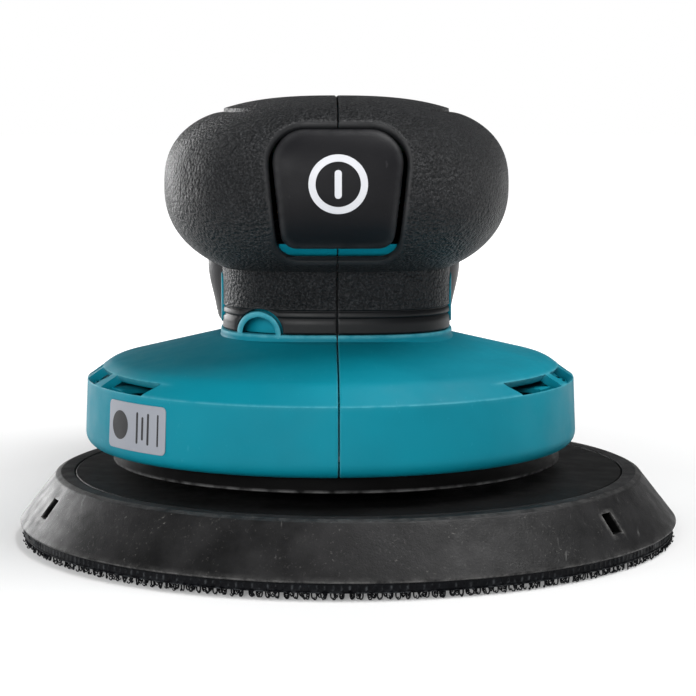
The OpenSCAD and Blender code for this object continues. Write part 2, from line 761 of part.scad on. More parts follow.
shell_left();
shell_right();
grip_left();
grip_right();
side_panel_left();
side_panel_right();
tail_cover();
battery_rails();
terminal_block();
brake_ring();
info_sticker();
motor_stator();
stator_windings();
upper_bearing();
lower_bearing();
motor_bracket();
bearing_cap();
bracket_screws();
fan_baffle();
control_board();
switch_module();
button_spring();
motor_wires();
housing_screws();
motor_shaft();
motor_rotor();
fan();
eccentric_hub();
counterweight();
hub_screw();
pad_bearing_upper();
pad_bearing_lower();
pad_arbor();
backing_plate();
pad_foam();
hook_layer();
pad_stud();
power_button();
button_icon();
battery_lid();
battery_tub();
battery_cells();
cell_straps();
battery_contacts();
battery_screws();
battery_latch();
latch_spring();
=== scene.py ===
import json
import math

import bmesh
import bpy
import numpy as np
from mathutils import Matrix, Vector


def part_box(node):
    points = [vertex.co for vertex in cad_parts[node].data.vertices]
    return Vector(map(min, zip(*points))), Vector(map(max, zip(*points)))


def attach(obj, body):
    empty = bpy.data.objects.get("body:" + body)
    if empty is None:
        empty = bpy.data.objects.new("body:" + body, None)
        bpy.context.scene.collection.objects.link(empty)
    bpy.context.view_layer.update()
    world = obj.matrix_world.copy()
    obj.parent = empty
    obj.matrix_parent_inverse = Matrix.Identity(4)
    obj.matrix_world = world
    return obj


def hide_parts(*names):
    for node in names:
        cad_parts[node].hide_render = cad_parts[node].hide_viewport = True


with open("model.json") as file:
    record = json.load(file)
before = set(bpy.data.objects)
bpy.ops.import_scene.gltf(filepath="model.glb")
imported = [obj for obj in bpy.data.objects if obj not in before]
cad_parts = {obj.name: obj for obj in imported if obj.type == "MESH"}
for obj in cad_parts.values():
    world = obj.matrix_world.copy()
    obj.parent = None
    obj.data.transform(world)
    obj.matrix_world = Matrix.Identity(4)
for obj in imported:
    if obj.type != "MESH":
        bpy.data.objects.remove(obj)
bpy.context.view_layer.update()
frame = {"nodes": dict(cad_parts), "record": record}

MM = 0.001
SIDES = ((-1, "left"), (1, "right"))

# ---- measures of the part, in millimetres (angles in degrees) ----
# Seam between the halves, and columns of points that crowd towards it
SEAM = 0.25
SEAM_EDGE = SEAM / 2 + 0.02
SEAM_OFFSETS = np.array((0.0, 0.03, 0.09, 0.18, 0.3, 0.45, 0.62))
SEAM_GAP_COLUMNS = 5
# Depths under the rubber: its own thickness, and the hard core's outer and inner faces
RUBBER = 1.8
CORE_IN = 2.15
CORE_OUT = 4.15
# Half width, front reach and rear reach of the neck and of the head's widest level
NECK = (25.8, 22.5, 38.0)
HEAD = (38.6, 44.0, 46.0)
HEAD_Z = 79.5
HEAD_UP = 20.0
HEAD_DOWN = 22.8
# Powers of the head's curves: underside, crown sideways, crown lengthways, plan
LOW_N = 2.3
UP_N = 2.6
FRONT_N = 4.0
PLAN_N = 2.7
# Half width of the raised crown, foot of the rubber and the grooves above it
CROWN_A = 25.5
COLLAR_Z = 47.4
NECK_TOP = 61.0
GROOVES = (50.9, 52.5)
# Button: half width, foot, top, how far it sits in, its opening, its corners and its mark
BUTTON_A = 13.7
BUTTON_Z0 = 67.0
BUTTON_Z1 = 92.4
BUTTON_DROP = 0.8
BUTTON_TAPER = 1.6
BUTTON_TOP_R = 7.0
BUTTON_LOW_R = 3.5
OPENING_GAP = 1.2
OPENING_DROP = 2.2
ICON_Z = 81.0
# Hooded recess at the foot of the neck
ARCH_X = -17.2
ARCH_Z = 47.6
ARCH_R = 4.9
# Bell: upper edge of the wall, upper edge of the shoulder and foot of the neck (radius, height)
CREASE_Z = 36.0
SHOULDER = (49.8, 40.1)
ROOF = (26.6, 45.7)
BELL_FOOT_R = 3.0
BELL_TAPER = 0.6
BELL_SHELL = 1.8
# Vents: spans round the bell, and their lower and upper edges
VENT_SPANS = ((-45.4, -25.2), (-22.0, -8.5), (-5.5, 8.0), (11.0, 24.5), (27.5, 43.5))
VENT_ROWS = (36.05, 38.6)
VENT_SLANT = 2.6
VENT_RIBS = (-17.5, -13.0, 1.5, 16.0, 20.0, 34.0)
# Arm: foot, start of the arched top and length of the nose buried in the head
TAIL_Z0 = 84.6
TAIL_BEND = 88.0
ARM_NOSE = 11.0
ARM_WALL = 2.4
ARM_END_R = 4.0
# Screw boss on each flank of the neck: place, seat, reach and radius
BOSS_Y = 25.0
BOSS_Z = 56.0
BOSS_SEAT = 15.0
BOSS_REACH = 21.0
BOSS_R = 4.6
# Pad: radius of its top and of its plate, and height where the hooks leave their tape
PAD_TOP_R = 66.5
PLATE_R = 62.3
HOOK_ROOT = 1.6
# Clip pockets of the pad: angles, half width, lower and upper edge, depth, radius and slope
POCKET_ANGLES = (81.3, 201.3, 321.3)
POCKET_HALF = 1.9
POCKET_Z = (7.6, 11.6)
POCKET_DEEP = 8.0
POCKET_R = 71.5
POCKET_SLOPE = 37
# Sticker: first and last angle, lower and upper edge
STICKER = (210.6, 231.1, 24.1, 34.3)


def box_mm(node):
    """The node's lowest and highest corners in millimetres."""
    low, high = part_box(node)
    return np.array(low) / MM, np.array(high) / MM


PAD_LOW, PAD_HIGH = box_mm("pad_foam")
PAD_X = (PAD_LOW[0] + PAD_HIGH[0]) / 2
PAD_R = (PAD_HIGH[0] - PAD_LOW[0]) / 2
HOOK_T = PAD_LOW[2]
PAD_TOP = PAD_HIGH[2]
BELL_LOW = box_mm("shell_left")[0]
BELL_HIGH = box_mm("shell_right")[1]
BELL_X = (BELL_LOW[0] + BELL_HIGH[0]) / 2
BELL_R = (BELL_HIGH[0] - BELL_LOW[0]) / 2
BELL_Z = BELL_LOW[2]
SKIRT_LOW, SKIRT_HIGH = box_mm("brake_ring")
SKIRT_R = SKIRT_HIGH[0]
BATT_LOW, BATT_HIGH = box_mm("battery_tub")
TAIL_LOW, TAIL_HIGH = box_mm("tail_cover")


# ---- shader helpers ----
class Shader:
    """Builds one node material."""

    def __init__(self, name):
        self.mat = bpy.data.materials.new(name)
        self.mat.use_nodes = True
        self.tree = self.mat.node_tree
        self.tree.nodes.clear()
        self.bsdf = self.add("BsdfPrincipled")
        self.join(self.bsdf.outputs["BSDF"], self.add("OutputMaterial").inputs["Surface"])
        self.coord = self.add("TexCoord")

    def join(self, a, b):
        self.tree.links.new(a, b)

    def add(self, kind, where=None, **values):
        """A new node with its sockets set by name, read at a place if one is given."""
        node = self.tree.nodes.new("ShaderNode" + kind)
        for name, value in values.items():
            node.inputs[name.replace("_", " ")].default_value = value
        if where is not None:
            self.join(where, node.inputs["Vector"])
        return node

    def feed(self, socket, value):
        """Gives a socket another socket's value, a colour or a number."""
        if isinstance(value, bpy.types.NodeSocket):
            self.join(value, socket)
        elif isinstance(value, tuple):
            socket.default_value = (*value, 1)
        else:
            socket.default_value = value

    def place(self, scale=(1, 1, 1), turn=(0, 0, 0)):
        """Object coordinates in millimetres, stretched by scale."""
        stretch = [s / MM for s in scale]
        node = self.add("Mapping", self.coord.outputs["Object"], Scale=stretch, Rotation=turn)
        return node.outputs["Vector"]

    def noise(self, size, detail=2.0, rough=0.5, where=None):
        node = self.add("TexNoise", where or self.place(), Scale=1.0 / size, Detail=detail, Roughness=rough)
        return node.outputs["Fac"]

    def cells(self, size, smooth=None):
        node = self.add("TexVoronoi", self.place(), Scale=1.0 / size)
        if smooth is not None:
            node.feature = "SMOOTH_F1"
            node.inputs["Smoothness"].default_value = smooth
        return node.outputs["Distance"]

    def wave(self, size, direction, distortion=0.0):
        node = self.add("TexWave", self.place(), Scale=0.314 / size, Distortion=distortion)
        node.bands_direction = direction
        return node.outputs["Fac"]

    def fit(self, value, low, high, out_low=0.0, out_high=1.0):
        node = self.add("MapRange", From_Min=low, From_Max=high, To_Min=out_low, To_Max=out_high)
        self.join(value, node.inputs["Value"])
        return node.outputs["Result"]

    def math(self, kind, a, b):
        node = self.add("Math")
        node.operation = kind
        self.feed(node.inputs[0], a)
        self.feed(node.inputs[1], b)
        return node.outputs[0]

    def times(self, a, b):
        return self.math("MULTIPLY", a, b)

    def mix(self, fac, a, b):
        """Mixes two colours; each may be a colour or a socket."""
        node = self.add("Mix")
        node.data_type = "RGBA"
        self.join(fac, node.inputs["Factor"])
        for socket, value in zip([s for s in node.inputs if s.type == "RGBA"], (a, b)):
            self.feed(socket, value)
        return [s for s in node.outputs if s.type == "RGBA"][0]

    def mask(self, name):
        node = self.add("Attribute")
        node.attribute_name = name
        return node.outputs["Fac"]

    def bump(self, height, depth, strength=1.0, below=None):
        """Depth is the real height of the relief in millimetres."""
        node = self.add("Bump", Strength=strength, Distance=depth * MM)
        self.join(height, node.inputs["Height"])
        if below is not None:
            self.join(below, node.inputs["Normal"])
        return node.outputs["Normal"]

    def finish(self, color, rough, normal=None, metallic=0.0, shine=0.5):
        self.feed(self.bsdf.inputs["Base Color"], color)
        self.feed(self.bsdf.inputs["Roughness"], rough)
        if normal is not None:
            self.join(normal, self.bsdf.inputs["Normal"])
        self.bsdf.inputs["Metallic"].default_value = metallic
        self.bsdf.inputs["Specular IOR Level"].default_value = shine
        return self.mat


def moulded(name, dark, light, rough, grain, depth, edge=None, shine=0.3):
    """Moulded plastic: fine eroded texture, slow colour drift, small scuffs, and paler edges that are partly
    wear and partly painted highlight.
    """
    s = Shader(name)
    drift = s.noise(26, 3)
    color = s.mix(s.fit(drift, 0.35, 0.65), dark, light)
    scuffs = s.fit(s.noise(1.0, 4, 0.6, s.place((0.9, 0.12, 0.5), (0.2, 0.5, 0.7))), 0.66, 0.78)
    spots = s.fit(s.cells(3.3), 0.0, 0.05, 1.0, 0.0)
    paler = tuple(min(1.0, c * 1.5 + 0.05) for c in light)
    color = s.mix(s.times(s.math("ADD", scuffs, spots), 0.25), color, paler)
    if edge is not None:
        # Edges turn paler where marked: partly worn whitening, partly painted highlight.
        color = s.mix(s.times(s.mask("wear_and_highlight"), s.fit(s.noise(2.4, 4), 0.18, 0.55)), color, edge)
    normal = s.bump(drift, 0.15, 0.4, s.bump(s.noise(grain, 3, 0.6), depth))
    gloss = s.fit(s.noise(6, 4), 0.3, 0.7, rough - 0.07, rough + 0.08)
    return s.finish(color, gloss, normal, shine=shine)


def grained_rubber():
    """Overmoulded rubber with a pebbled grain that stops where the smooth collar begins, and painted glints
    on the grain.
    """
    s = Shader("grip_rubber")
    grain = s.mask("grain")
    small = s.noise(0.42, 3, 0.6)
    height = s.math("ADD", s.times(s.cells(0.8, 0.3), -0.9), s.times(small, 0.8))
    normal = s.bump(s.times(height, grain), 0.85, 1.0, s.bump(s.noise(0.35, 2), 0.012))
    drift = s.fit(s.noise(18, 3), 0.35, 0.65)
    color = s.mix(drift, (0.0035, 0.004, 0.0048), (0.0065, 0.0072, 0.0085))
    # Pale specks on the grain: painted highlights that stand for glints of light on the pebbles.
    painted_grain_glints = s.times(s.fit(small, 0.5, 0.62), s.times(grain, 0.62))
    color = s.mix(painted_grain_glints, color, (0.042, 0.044, 0.047))
    color = s.mix(s.times(s.mask("wear_and_highlight"), 0.5), color, (0.05, 0.05, 0.052))
    gloss = s.fit(s.noise(9, 3), 0.3, 0.7, 0.4, 0.52)
    return s.finish(color, gloss, normal, shine=0.25)


def pad_rubber():
    """Foam skin: dark grey with pale dust, scuffs, a worn pale rim, and pocket insides painted near black as
    painted shade.
    """
    s = Shader("pad_rubber")
    drift = s.fit(s.noise(14, 5, 0.62), 0.36, 0.64)
    color = s.mix(drift, (0.0045, 0.0045, 0.0048), (0.0165, 0.0162, 0.0168))
    dust = s.fit(s.noise(0.75, 4, 0.75), 0.6, 0.74)
    patchy = s.times(s.fit(s.noise(9, 3), 0.4, 0.64), 0.85)
    color = s.mix(s.times(dust, patchy), color, (0.17, 0.165, 0.155))
    scuff = s.fit(s.noise(1.2, 4, 0.6, s.place((1, 0.16, 0.16), (0.1, 0.3, 0.5))), 0.66, 0.78)
    color = s.mix(s.times(scuff, 0.35), color, (0.22, 0.22, 0.215))
    rim = s.times(s.mask("wear_and_highlight"), s.fit(s.noise(2.6, 5, 0.75), 0.4, 0.62))
    color = s.mix(rim, color, (0.36, 0.355, 0.345))
    # Where the grain mark is set, on the pockets' insides, the colour goes near black: painted shade in the
    # recesses.
    color = s.mix(s.fit(s.mask("grain"), 0.0, 0.1), color, (0.0005, 0.0005, 0.0005))
    normal = s.bump(s.noise(5, 3), 0.2, 0.5, s.bump(s.noise(0.5, 4, 0.65), 0.05))
    gloss = s.fit(s.noise(4, 4), 0.3, 0.7, 0.4, 0.56)
    return s.finish(color, gloss, normal, shine=0.2)


def smooth_rubber(name, rough, tone, shine=0.3):
    """Smooth black rubber with a soft sheen, faint wipe marks and pale marked edges, which on the skirt are a
    painted highlight.
    """
    s = Shader(name)
    drift = s.fit(s.noise(11, 3), 0.3, 0.7)
    color = s.mix(drift, (tone * 0.75,) * 3, (tone * 1.3, tone * 1.3, tone * 1.35))
    # Marked edges turn pale: on the skirt's lip this is a painted highlight.
    color = s.mix(s.times(s.mask("wear_and_highlight"), s.fit(s.noise(3, 4), 0.35, 0.6)), color, (0.2, 0.2, 0.2))
    wipe = s.noise(1.5, 4, 0.6, s.place((0.25, 0.25, 1)))
    gloss = s.fit(wipe, 0.3, 0.7, rough - 0.08, rough + 0.1)
    return s.finish(color, gloss, s.bump(s.noise(0.4, 3), 0.015), shine=shine)


def hook_fabric():
    """Black moulded hook tape with slightly paler tips and loops."""
    s = Shader("hook_fabric")
    tint = s.fit(s.noise(2.5, 3), 0.35, 0.65)
    color = s.mix(tint, (0.0018, 0.002, 0.003), (0.004, 0.0045, 0.006))
    pale = s.times(s.mask("wear_and_highlight"), s.fit(s.noise(1.4, 4), 0.45, 0.6))
    color = s.mix(pale, color, (0.06, 0.065, 0.07))
    gloss = s.fit(s.noise(1.0, 2), 0.3, 0.7, 0.34, 0.55)
    return s.finish(color, gloss, s.bump(s.noise(0.3, 3), 0.05), shine=0.08)


def metal(name, tone, rough, line=0.6, stretch=(1, 1, 0.05)):
    """Metal with fine machining lines or a cast skin."""
    s = Shader(name)
    color = s.mix(s.fit(s.noise(5, 4), 0.3, 0.7), tuple(c * 0.8 for c in tone), tone)
    scratch = s.noise(line, 4, 0.6, s.place(stretch))
    gloss = s.fit(scratch, 0.3, 0.7, rough - 0.08, rough + 0.12)
    return s.finish(color, gloss, s.bump(scratch, 0.02), 1.0)


def banded(name, a, b, size, rough, metallic=0.9, direction="Z", depth=0.08):
    """Thin layers or turns: stacked sheets, wound wire, printed lines."""
    s = Shader(name)
    lines = s.wave(size, direction)
    tint = s.fit(s.noise(1.6, 3), 0.3, 0.7, 0.0, 0.35)
    color = s.mix(s.math("ADD", s.times(lines, 0.65), tint), a, b)
    gloss = s.fit(s.noise(2, 3), 0.3, 0.7, rough - 0.06, rough + 0.1)
    return s.finish(color, gloss, s.bump(lines, depth), metallic)


def printed_board(name):
    """Circuit board: green lacquer over copper runs, with pale solder dots."""
    s = Shader(name)
    runs = s.fit(s.wave(1.6, "X", 3.0), 0.45, 0.55)
    color = s.mix(runs, (0.006, 0.055, 0.02), (0.012, 0.11, 0.035))
    dots = s.fit(s.cells(2.6), 0.12, 0.17, 1.0, 0.0)
    color = s.mix(dots, color, (0.5, 0.5, 0.48))
    return s.finish(color, s.fit(dots, 0, 1, 0.42, 0.25), s.bump(runs, 0.03))


# Plastics: dark tone, light tone, roughness, size and depth of the grain, colour of worn edges and painted
# edge highlights, shine
PLASTICS = {
    "teal_plastic": ((0.0, 0.17, 0.232), (0.0, 0.2, 0.27), 0.56, 0.45, 0.016, (0.12, 0.42, 0.5), 0.13),
    "tail_plastic": ((0.011, 0.011, 0.012), (0.018, 0.018, 0.02), 0.5, 0.6, 0.05),
    "dark_plastic": ((0.0095, 0.0095, 0.0102), (0.016, 0.016, 0.017), 0.5, 0.5, 0.03, None, 0.22),
    "button_plastic": ((0.005, 0.005, 0.0062), (0.0075, 0.0075, 0.009), 0.5, 0.32, 0.035,
                       (0.04, 0.04, 0.042), 0.14),
    "icon_print": ((0.56, 0.57, 0.6), (0.66, 0.67, 0.7), 0.45, 0.4, 0.01),
    "sticker": ((0.235, 0.25, 0.285), (0.28, 0.295, 0.33), 0.45, 0.9, 0.008),
    "sticker_print": ((0.01, 0.01, 0.0115), (0.016, 0.016, 0.018), 0.5, 0.5, 0.01),
    "battery_plastic": ((0.0105, 0.0105, 0.0115), (0.018, 0.018, 0.02), 0.4, 0.7, 0.06,
                        (0.07, 0.07, 0.075)),
}
# Smooth rubbers: roughness, tone, shine
RUBBERS = {
    "skirt_rubber": (0.45, 0.0015, 0.05),
    "plate_plastic": (0.5, 0.004, 0.1),
    "wire_sleeve": (0.45, 0.12),
}
# Metals: tone, roughness, size and stretch of the lines
METALS = {
    "steel": ((0.56, 0.57, 0.58), 0.32),
    "bearing_steel": ((0.66, 0.67, 0.68), 0.22, 0.4),
    "cast_alloy": ((0.45, 0.46, 0.47), 0.48, 0.5, (1, 1, 1)),
    "contact_brass": ((0.78, 0.58, 0.24), 0.3),
}
# Layered things: two tones, size of a layer, roughness, metallic, direction, depth
LAYERS = {
    "lamination": ((0.16, 0.16, 0.17), (0.4, 0.4, 0.41), 0.5, 0.42),
    "copper": ((0.42, 0.14, 0.04), (0.8, 0.36, 0.14), 0.6, 0.3),
    "cell_wrap": ((0.01, 0.08, 0.2), (0.02, 0.14, 0.32), 11, 0.32, 0.0, "Y", 0.02),
}


def paint_all():
    """The finishes by slot name."""
    paint = {"grip_rubber": grained_rubber(), "pad_rubber": pad_rubber(), "hook_fabric": hook_fabric(),
             "board": printed_board("board")}
    for maker, table in ((moulded, PLASTICS), (smooth_rubber, RUBBERS), (metal, METALS), (banded, LAYERS)):
        for name, values in table.items():
            paint[name] = maker(name, *values)
    return paint


PAINT = paint_all()


def paint_frame():
    """Each CAD node that still shows takes the finish of its slot."""
    for row in frame["record"]["subparts"]:
        mesh = frame["nodes"][row["node"]].data
        mesh.materials.clear()
        mesh.materials.append(PAINT[row["material_slot"]])


# ---- mesh helpers ----
class Mesh:
    """Collects grids of points and the faces between them."""

    def __init__(self):
        self.points = []
        self.faces = []
        # The wear mark holds worn pale edges and also painted highlights along edges that catch the light.
        self.marks = {"wear_and_highlight": [], "grain": []}
        self.size = 0

    def grid(self, points, wear_and_highlight=0.0, grain=0.0):
        rows, cols = points.shape[:2]
        index = np.arange(rows * cols).reshape(rows, cols) + self.size
        self.points.append(points.reshape(-1, 3))
        for key, value in (("wear_and_highlight", wear_and_highlight), ("grain", grain)):
            self.marks[key].append(np.broadcast_to(value, (rows, cols)).reshape(-1).astype(float))
        self.size += rows * cols
        return index

    def skin(self, index, keep=None, wrap=False):
        a = index[:-1]
        b = index[1:]
        if wrap:
            quads = np.stack([a, np.roll(a, -1, 1), np.roll(b, -1, 1), b], -1)
        else:
            quads = np.stack([a[:, :-1], a[:, 1:], b[:, 1:], b[:, :-1]], -1)
        if keep is not None:
            quads = quads[keep]
        self.faces.extend(quads.reshape(-1, 4).tolist())

    def walls(self, outer, inner, keep, wrap=False):
        """Joins two grids along every border of the kept cells."""
        rows, cols = keep.shape
        tall = np.zeros((rows + 2, cols), bool)
        tall[1:-1] = keep
        for i in range(rows + 1):
            for j in np.nonzero(tall[i] != tall[i + 1])[0]:
                k = (j + 1) % outer.shape[1]
                self.faces.append([outer[i, j], outer[i, k], inner[i, k], inner[i, j]])
        if wrap:
            side = keep != np.roll(keep, 1, 1)
            spots = zip(*np.nonzero(side))
        else:
            wide = np.zeros((rows, cols + 2), bool)
            wide[:, 1:-1] = keep
            spots = zip(*np.nonzero(wide[:, 1:] != wide[:, :-1]))
        for i, j in spots:
            self.faces.append([outer[i, j], outer[i + 1, j], inner[i + 1, j], inner[i, j]])

    def cap(self, ring, flip=False):
        ring = list(ring)
        self.faces.append(ring[::-1] if flip else ring)

    def shell(self, outer, inner, keep=None, wear_and_highlight=0.0, grain=0.0):
        """An outer and an inner skin with walls along every border of the kept cells."""
        if keep is None:
            keep = np.ones((outer.shape[0] - 1, outer.shape[1] - 1), bool)
        o = self.grid(outer, wear_and_highlight, grain)
        n = self.grid(inner)
        self.skin(o, keep)
        self.skin(n, keep)
        self.walls(o, n, keep)

    def tube(self, points, wear_and_highlight=0.0, capped=False):
        """Closed rings joined in order, and capped at both ends where that is asked for."""
        rings = self.grid(points, wear_and_highlight)
        self.skin(rings, None, True)
        if capped:
            self.cap(rings[0], True)
            self.cap(rings[-1])

    def build(self, name, slot, body, nodes=(), sharp=40, weld=0.001):
        points = np.concatenate(self.points)
        mesh = bpy.data.meshes.new(name)
        mesh.from_pydata((points * MM).tolist(), [], self.faces)
        for key, values in self.marks.items():
            layer = mesh.attributes.new(key, "FLOAT", "POINT")
            layer.data.foreach_set("value", np.concatenate(values).astype(np.float32))
        work = bmesh.new()
        work.from_mesh(mesh)
        loose = [v for v in work.verts if not v.link_faces]
        bmesh.ops.delete(work, geom=loose, context="VERTS")
        bmesh.ops.remove_doubles(work, verts=work.verts, dist=weld * MM)
        bmesh.ops.recalc_face_normals(work, faces=work.faces)
        work.to_mesh(mesh)
        work.free()
        mesh.validate()
        mesh.shade_smooth()
        mesh.set_sharp_from_angle(angle=math.radians(sharp))
        mesh.materials.append(PAINT[slot])
        obj = bpy.data.objects.new(name, mesh)
        bpy.context.scene.collection.objects.link(obj)
        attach(obj, body)
        if nodes:
            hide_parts(*nodes)
        return obj


def smooth_step(x, low, high):
    """0 below low, 1 above high and a smooth rise between them."""
    t = np.clip((np.asarray(x, float) - low) / (high - low), 0, 1)
    return t * t * (3 - 2 * t)


def fade(distance, reach):
    """1 on a line and 0 from the reach on."""
    return np.clip(1 - np.abs(distance) / reach, 0, 1)


def hump(distance, width, power=2):
    """A smooth rise along a line: 1 on it and nearly 0 from two widths away."""
    return np.exp(-(distance / width) ** power)


def quarter(count):
    """Sine and cosine at even steps of a quarter turn."""
    return [(math.sin(q), math.cos(q)) for q in (math.radians(90 * k / count) for k in range(count + 1))]


def turned(path, t):
    """A profile of (radius, height) swung through the angles t: across, along and height."""
    r = path[:, 0][:, None]
    return r * np.cos(t), r * np.sin(t), np.repeat(path[:, 1][:, None], len(t), 1)


def round_drop(distance, radius):
    """How far a rounded edge falls away at a distance from the edge."""
    d = np.clip(radius - np.clip(distance, 0, radius), 0, radius)
    return radius - np.sqrt(np.maximum(radius * radius - d * d, 0))


def fillet_path(corners, step=0.35):
    """A path through corners (a, b, radius) with each corner rounded, and evenly filled."""
    pts = [np.array(c[:2], float) for c in corners]
    path = []
    for k, c in enumerate(corners):
        p = pts[k]
        if k in (0, len(corners) - 1) or c[2] <= 0:
            path.append(p)
            continue
        u = pts[k - 1] - p
        v = pts[k + 1] - p
        lu = np.linalg.norm(u)
        lv = np.linalg.norm(v)
        u /= lu
        v /= lv
        half = math.acos(max(-1, min(1, float(u @ v)))) / 2
        cut = min(c[2] / math.tan(half), lu * 0.49, lv * 0.49)
        radius = cut * math.tan(half)
        a = p + u * cut
        b = p + v * cut
        mid = p + (u + v) / np.linalg.norm(u + v) * (radius / math.sin(half))
        sweep = math.pi - 2 * half
        count = max(3, int(math.ceil(sweep / math.radians(14))))
        start = math.atan2(*(a - mid)[::-1])
        turn = math.atan2(*(b - mid)[::-1]) - start
        turn = (turn + math.pi) % (2 * math.pi) - math.pi
        for i in range(count + 1):
            angle = start + turn * i / count
            path.append(mid + radius * np.array([math.cos(angle), math.sin(angle)]))
    return fill_path(path, step)


def fill_path(path, step):
    """Adds points along the long straight runs."""
    out = [path[0]]
    for a, b in zip(path[:-1], path[1:]):
        count = max(1, int(round(np.linalg.norm(b - a) / step)))
        for i in range(1, count + 1):
            out.append(a + (b - a) * i / count)
    return np.array(out)


def hull_outline(circles, count=28):
    """Outline of the hull of circles (x, y, r), anticlockwise."""
    angles = np.linspace(0, 2 * math.pi, count * 8, endpoint=False)
    ring = []
    for a in angles:
        d = np.array([math.cos(a), math.sin(a)])
        reach = [c[0] * d[0] + c[1] * d[1] + c[2] for c in circles]
        c = circles[int(np.argmax(reach))]
        ring.append([c[0] + c[2] * d[0], c[1] + c[2] * d[1]])
    return even_ring(np.array(ring), count * 8)


def even_ring(ring, count):
    """The same closed outline with evenly spaced points."""
    closed = np.vstack([ring, ring[:1]])
    run = np.concatenate([[0], np.cumsum(np.linalg.norm(np.diff(closed, axis=0), axis=1))])
    keep = np.concatenate([[True], np.diff(run) > 1e-9])
    marks = np.linspace(0, run[-1], count, endpoint=False)
    return np.stack([np.interp(marks, run[keep], closed[keep, k]) for k in (0, 1)], 1)


def near_outline(points, ring):
    """Signed distance to a closed outline (negative inside) and the nearest point on it."""
    a = ring
    b = np.roll(ring, -1, 0)
    d = b - a
    best = np.full(len(points), 1e9)
    nearest = np.zeros((len(points), 2))
    inside = np.zeros(len(points), bool)
    for k in range(len(ring)):
        rel = points - a[k]
        t = np.clip(rel @ d[k] / (d[k] @ d[k]), 0, 1)
        foot = a[k] + t[:, None] * d[k]
        far = np.linalg.norm(points - foot, axis=1)
        closer = far < best
        best[closer] = far[closer]
        nearest[closer] = foot[closer]
        crosses = (a[k, 1] > points[:, 1]) != (b[k, 1] > points[:, 1])
        if abs(d[k, 1]) > 1e-12:
            at = a[k, 0] + (points[:, 1] - a[k, 1]) * d[k, 0] / d[k, 1]
            inside ^= crosses & (points[:, 0] < at)
    return np.where(inside, -best, best), nearest


# ---- the head's surface ----
def level_at(zone, w, t=0.0):
    """Half width, front reach, rear reach and height of one level of the head, inset by t."""
    na, nf, nr = (v - t for v in NECK)
    ha, hf, hr = (v - t for v in HEAD)
    if zone == 0:
        return na, nf, nr, w
    if zone == 1:
        phi = math.acos((na / ha) ** (LOW_N / 2)) * (1 - w)
        a = ha * math.cos(phi) ** (2 / LOW_N)
        s = (a - na) / (ha - na)
        z = HEAD_Z - (HEAD_DOWN - t) * math.sin(phi) ** (2 / LOW_N)
        return a, nf + (hf - nf) * s, nr + (hr - nr) * s, z
    phi = math.pi / 2 * w
    c = max(math.cos(phi), 0)
    z = HEAD_Z + (HEAD_UP - t) * math.sin(phi) ** (2 / UP_N)
    return ha * c ** (2 / UP_N), hf * c ** (2 / FRONT_N), hr * c ** (2 / FRONT_N), z


def level_z(z, t=0.0):
    """The same level by its height, for whole arrays."""
    z = np.asarray(z, float)
    na, nf, nr = (v - t for v in NECK)
    ha, hf, hr = (v - t for v in HEAD)
    up = np.clip((z - HEAD_Z) / (HEAD_UP - t), 0, 0.99999)
    top = 1 - up ** UP_N
    low = np.clip((HEAD_Z - z) / (HEAD_DOWN - t), 0, 1)
    a_low = np.maximum(ha * (1 - low ** LOW_N) ** (1 / LOW_N), na)
    s = (a_low - na) / (ha - na)
    high = z >= HEAD_Z
    a = np.where(high, ha * top ** (1 / UP_N), a_low)
    f = np.where(high, hf * top ** (1 / FRONT_N), nf + (hf - nf) * s)
    r = np.where(high, hr * top ** (1 / FRONT_N), nr + (hr - nr) * s)
    return a, f, r


def front_y(x, z, t=0.0):
    """Where the front of the head is at x and z, at an inset of t."""
    a, f, _ = level_z(z, t)
    return -f * np.maximum(1 - np.clip(np.abs(x) / a, 0, 1) ** PLAN_N, 0) ** (1 / PLAN_N)


def side_x(y, z, t=0.0):
    """Half width of the head at y and z, at an inset of t."""
    a, f, r = level_z(z, t)
    reach = np.where(y < 0, f, r)
    return a * np.maximum(1 - np.clip(np.abs(y) / reach, 0, 1) ** PLAN_N, 0) ** (1 / PLAN_N)


def plan_points(a, f, r, u):
    """A level's outline: half width a, front reach f, rear reach r, at plan angles u."""
    x = a * np.cos(u) ** (2 / PLAN_N)
    return x, np.where(u < 0, f, r) * np.sign(u) * np.abs(np.sin(u)) ** (2 / PLAN_N)


def head_rows(step, fine):
    """Marks (zone, place) up the head, closer together where the detail is."""
    marks = []
    z = COLLAR_Z
    while z < NECK_TOP:
        marks.append((0, z))
        groove = min(abs(z - g) for g in GROOVES)
        z += 0.1 if groove < 0.6 else (0.25 if z < COLLAR_Z + 0.5 else step)
    marks.append((1, 0.0))
    for zone, pieces, end in ((1, 900, 1.0), (2, 1500, 0.9995)):
        last = level_at(zone, 0)
        for k in range(1, pieces + 1):
            w = k / pieces * end
            now = level_at(zone, w)
            sideways = math.dist((now[0], now[3]), (last[0], last[3]))
            run = max(sideways, math.dist(now[1::2], last[1::2]))
            want = fine if BUTTON_Z0 - 4 < now[3] < 97.5 else step
            if run >= want or (k == pieces and zone == 2):
                marks.append((zone, w))
                last = now
    return marks


def head_columns(step, fine):
    """Places from 0 to 1 round a half, from the front seam to the rear seam."""
    a, f, r, _ = level_at(1, 1.0)
    u = np.linspace(-math.pi / 2, math.pi / 2, 20001)[1:-1]
    x, y = plan_points(a, f, r, u)
    run = np.concatenate([[0], np.cumsum(np.hypot(np.diff(x), np.diff(y)))])
    dense = np.where((y < 0) & (x < BUTTON_A + 4.8), fine, step)
    count = np.concatenate([[0], np.cumsum(np.diff(run) / dense[1:])])
    start = np.searchsorted(x, 0.9)
    end = len(x) - 1 - np.searchsorted(x[::-1], 0.9)
    marks = np.linspace(count[start], count[end], int(count[end] - count[start]))
    places = np.interp(marks, count, u)
    return (places - places[0]) / (places[-1] - places[0])


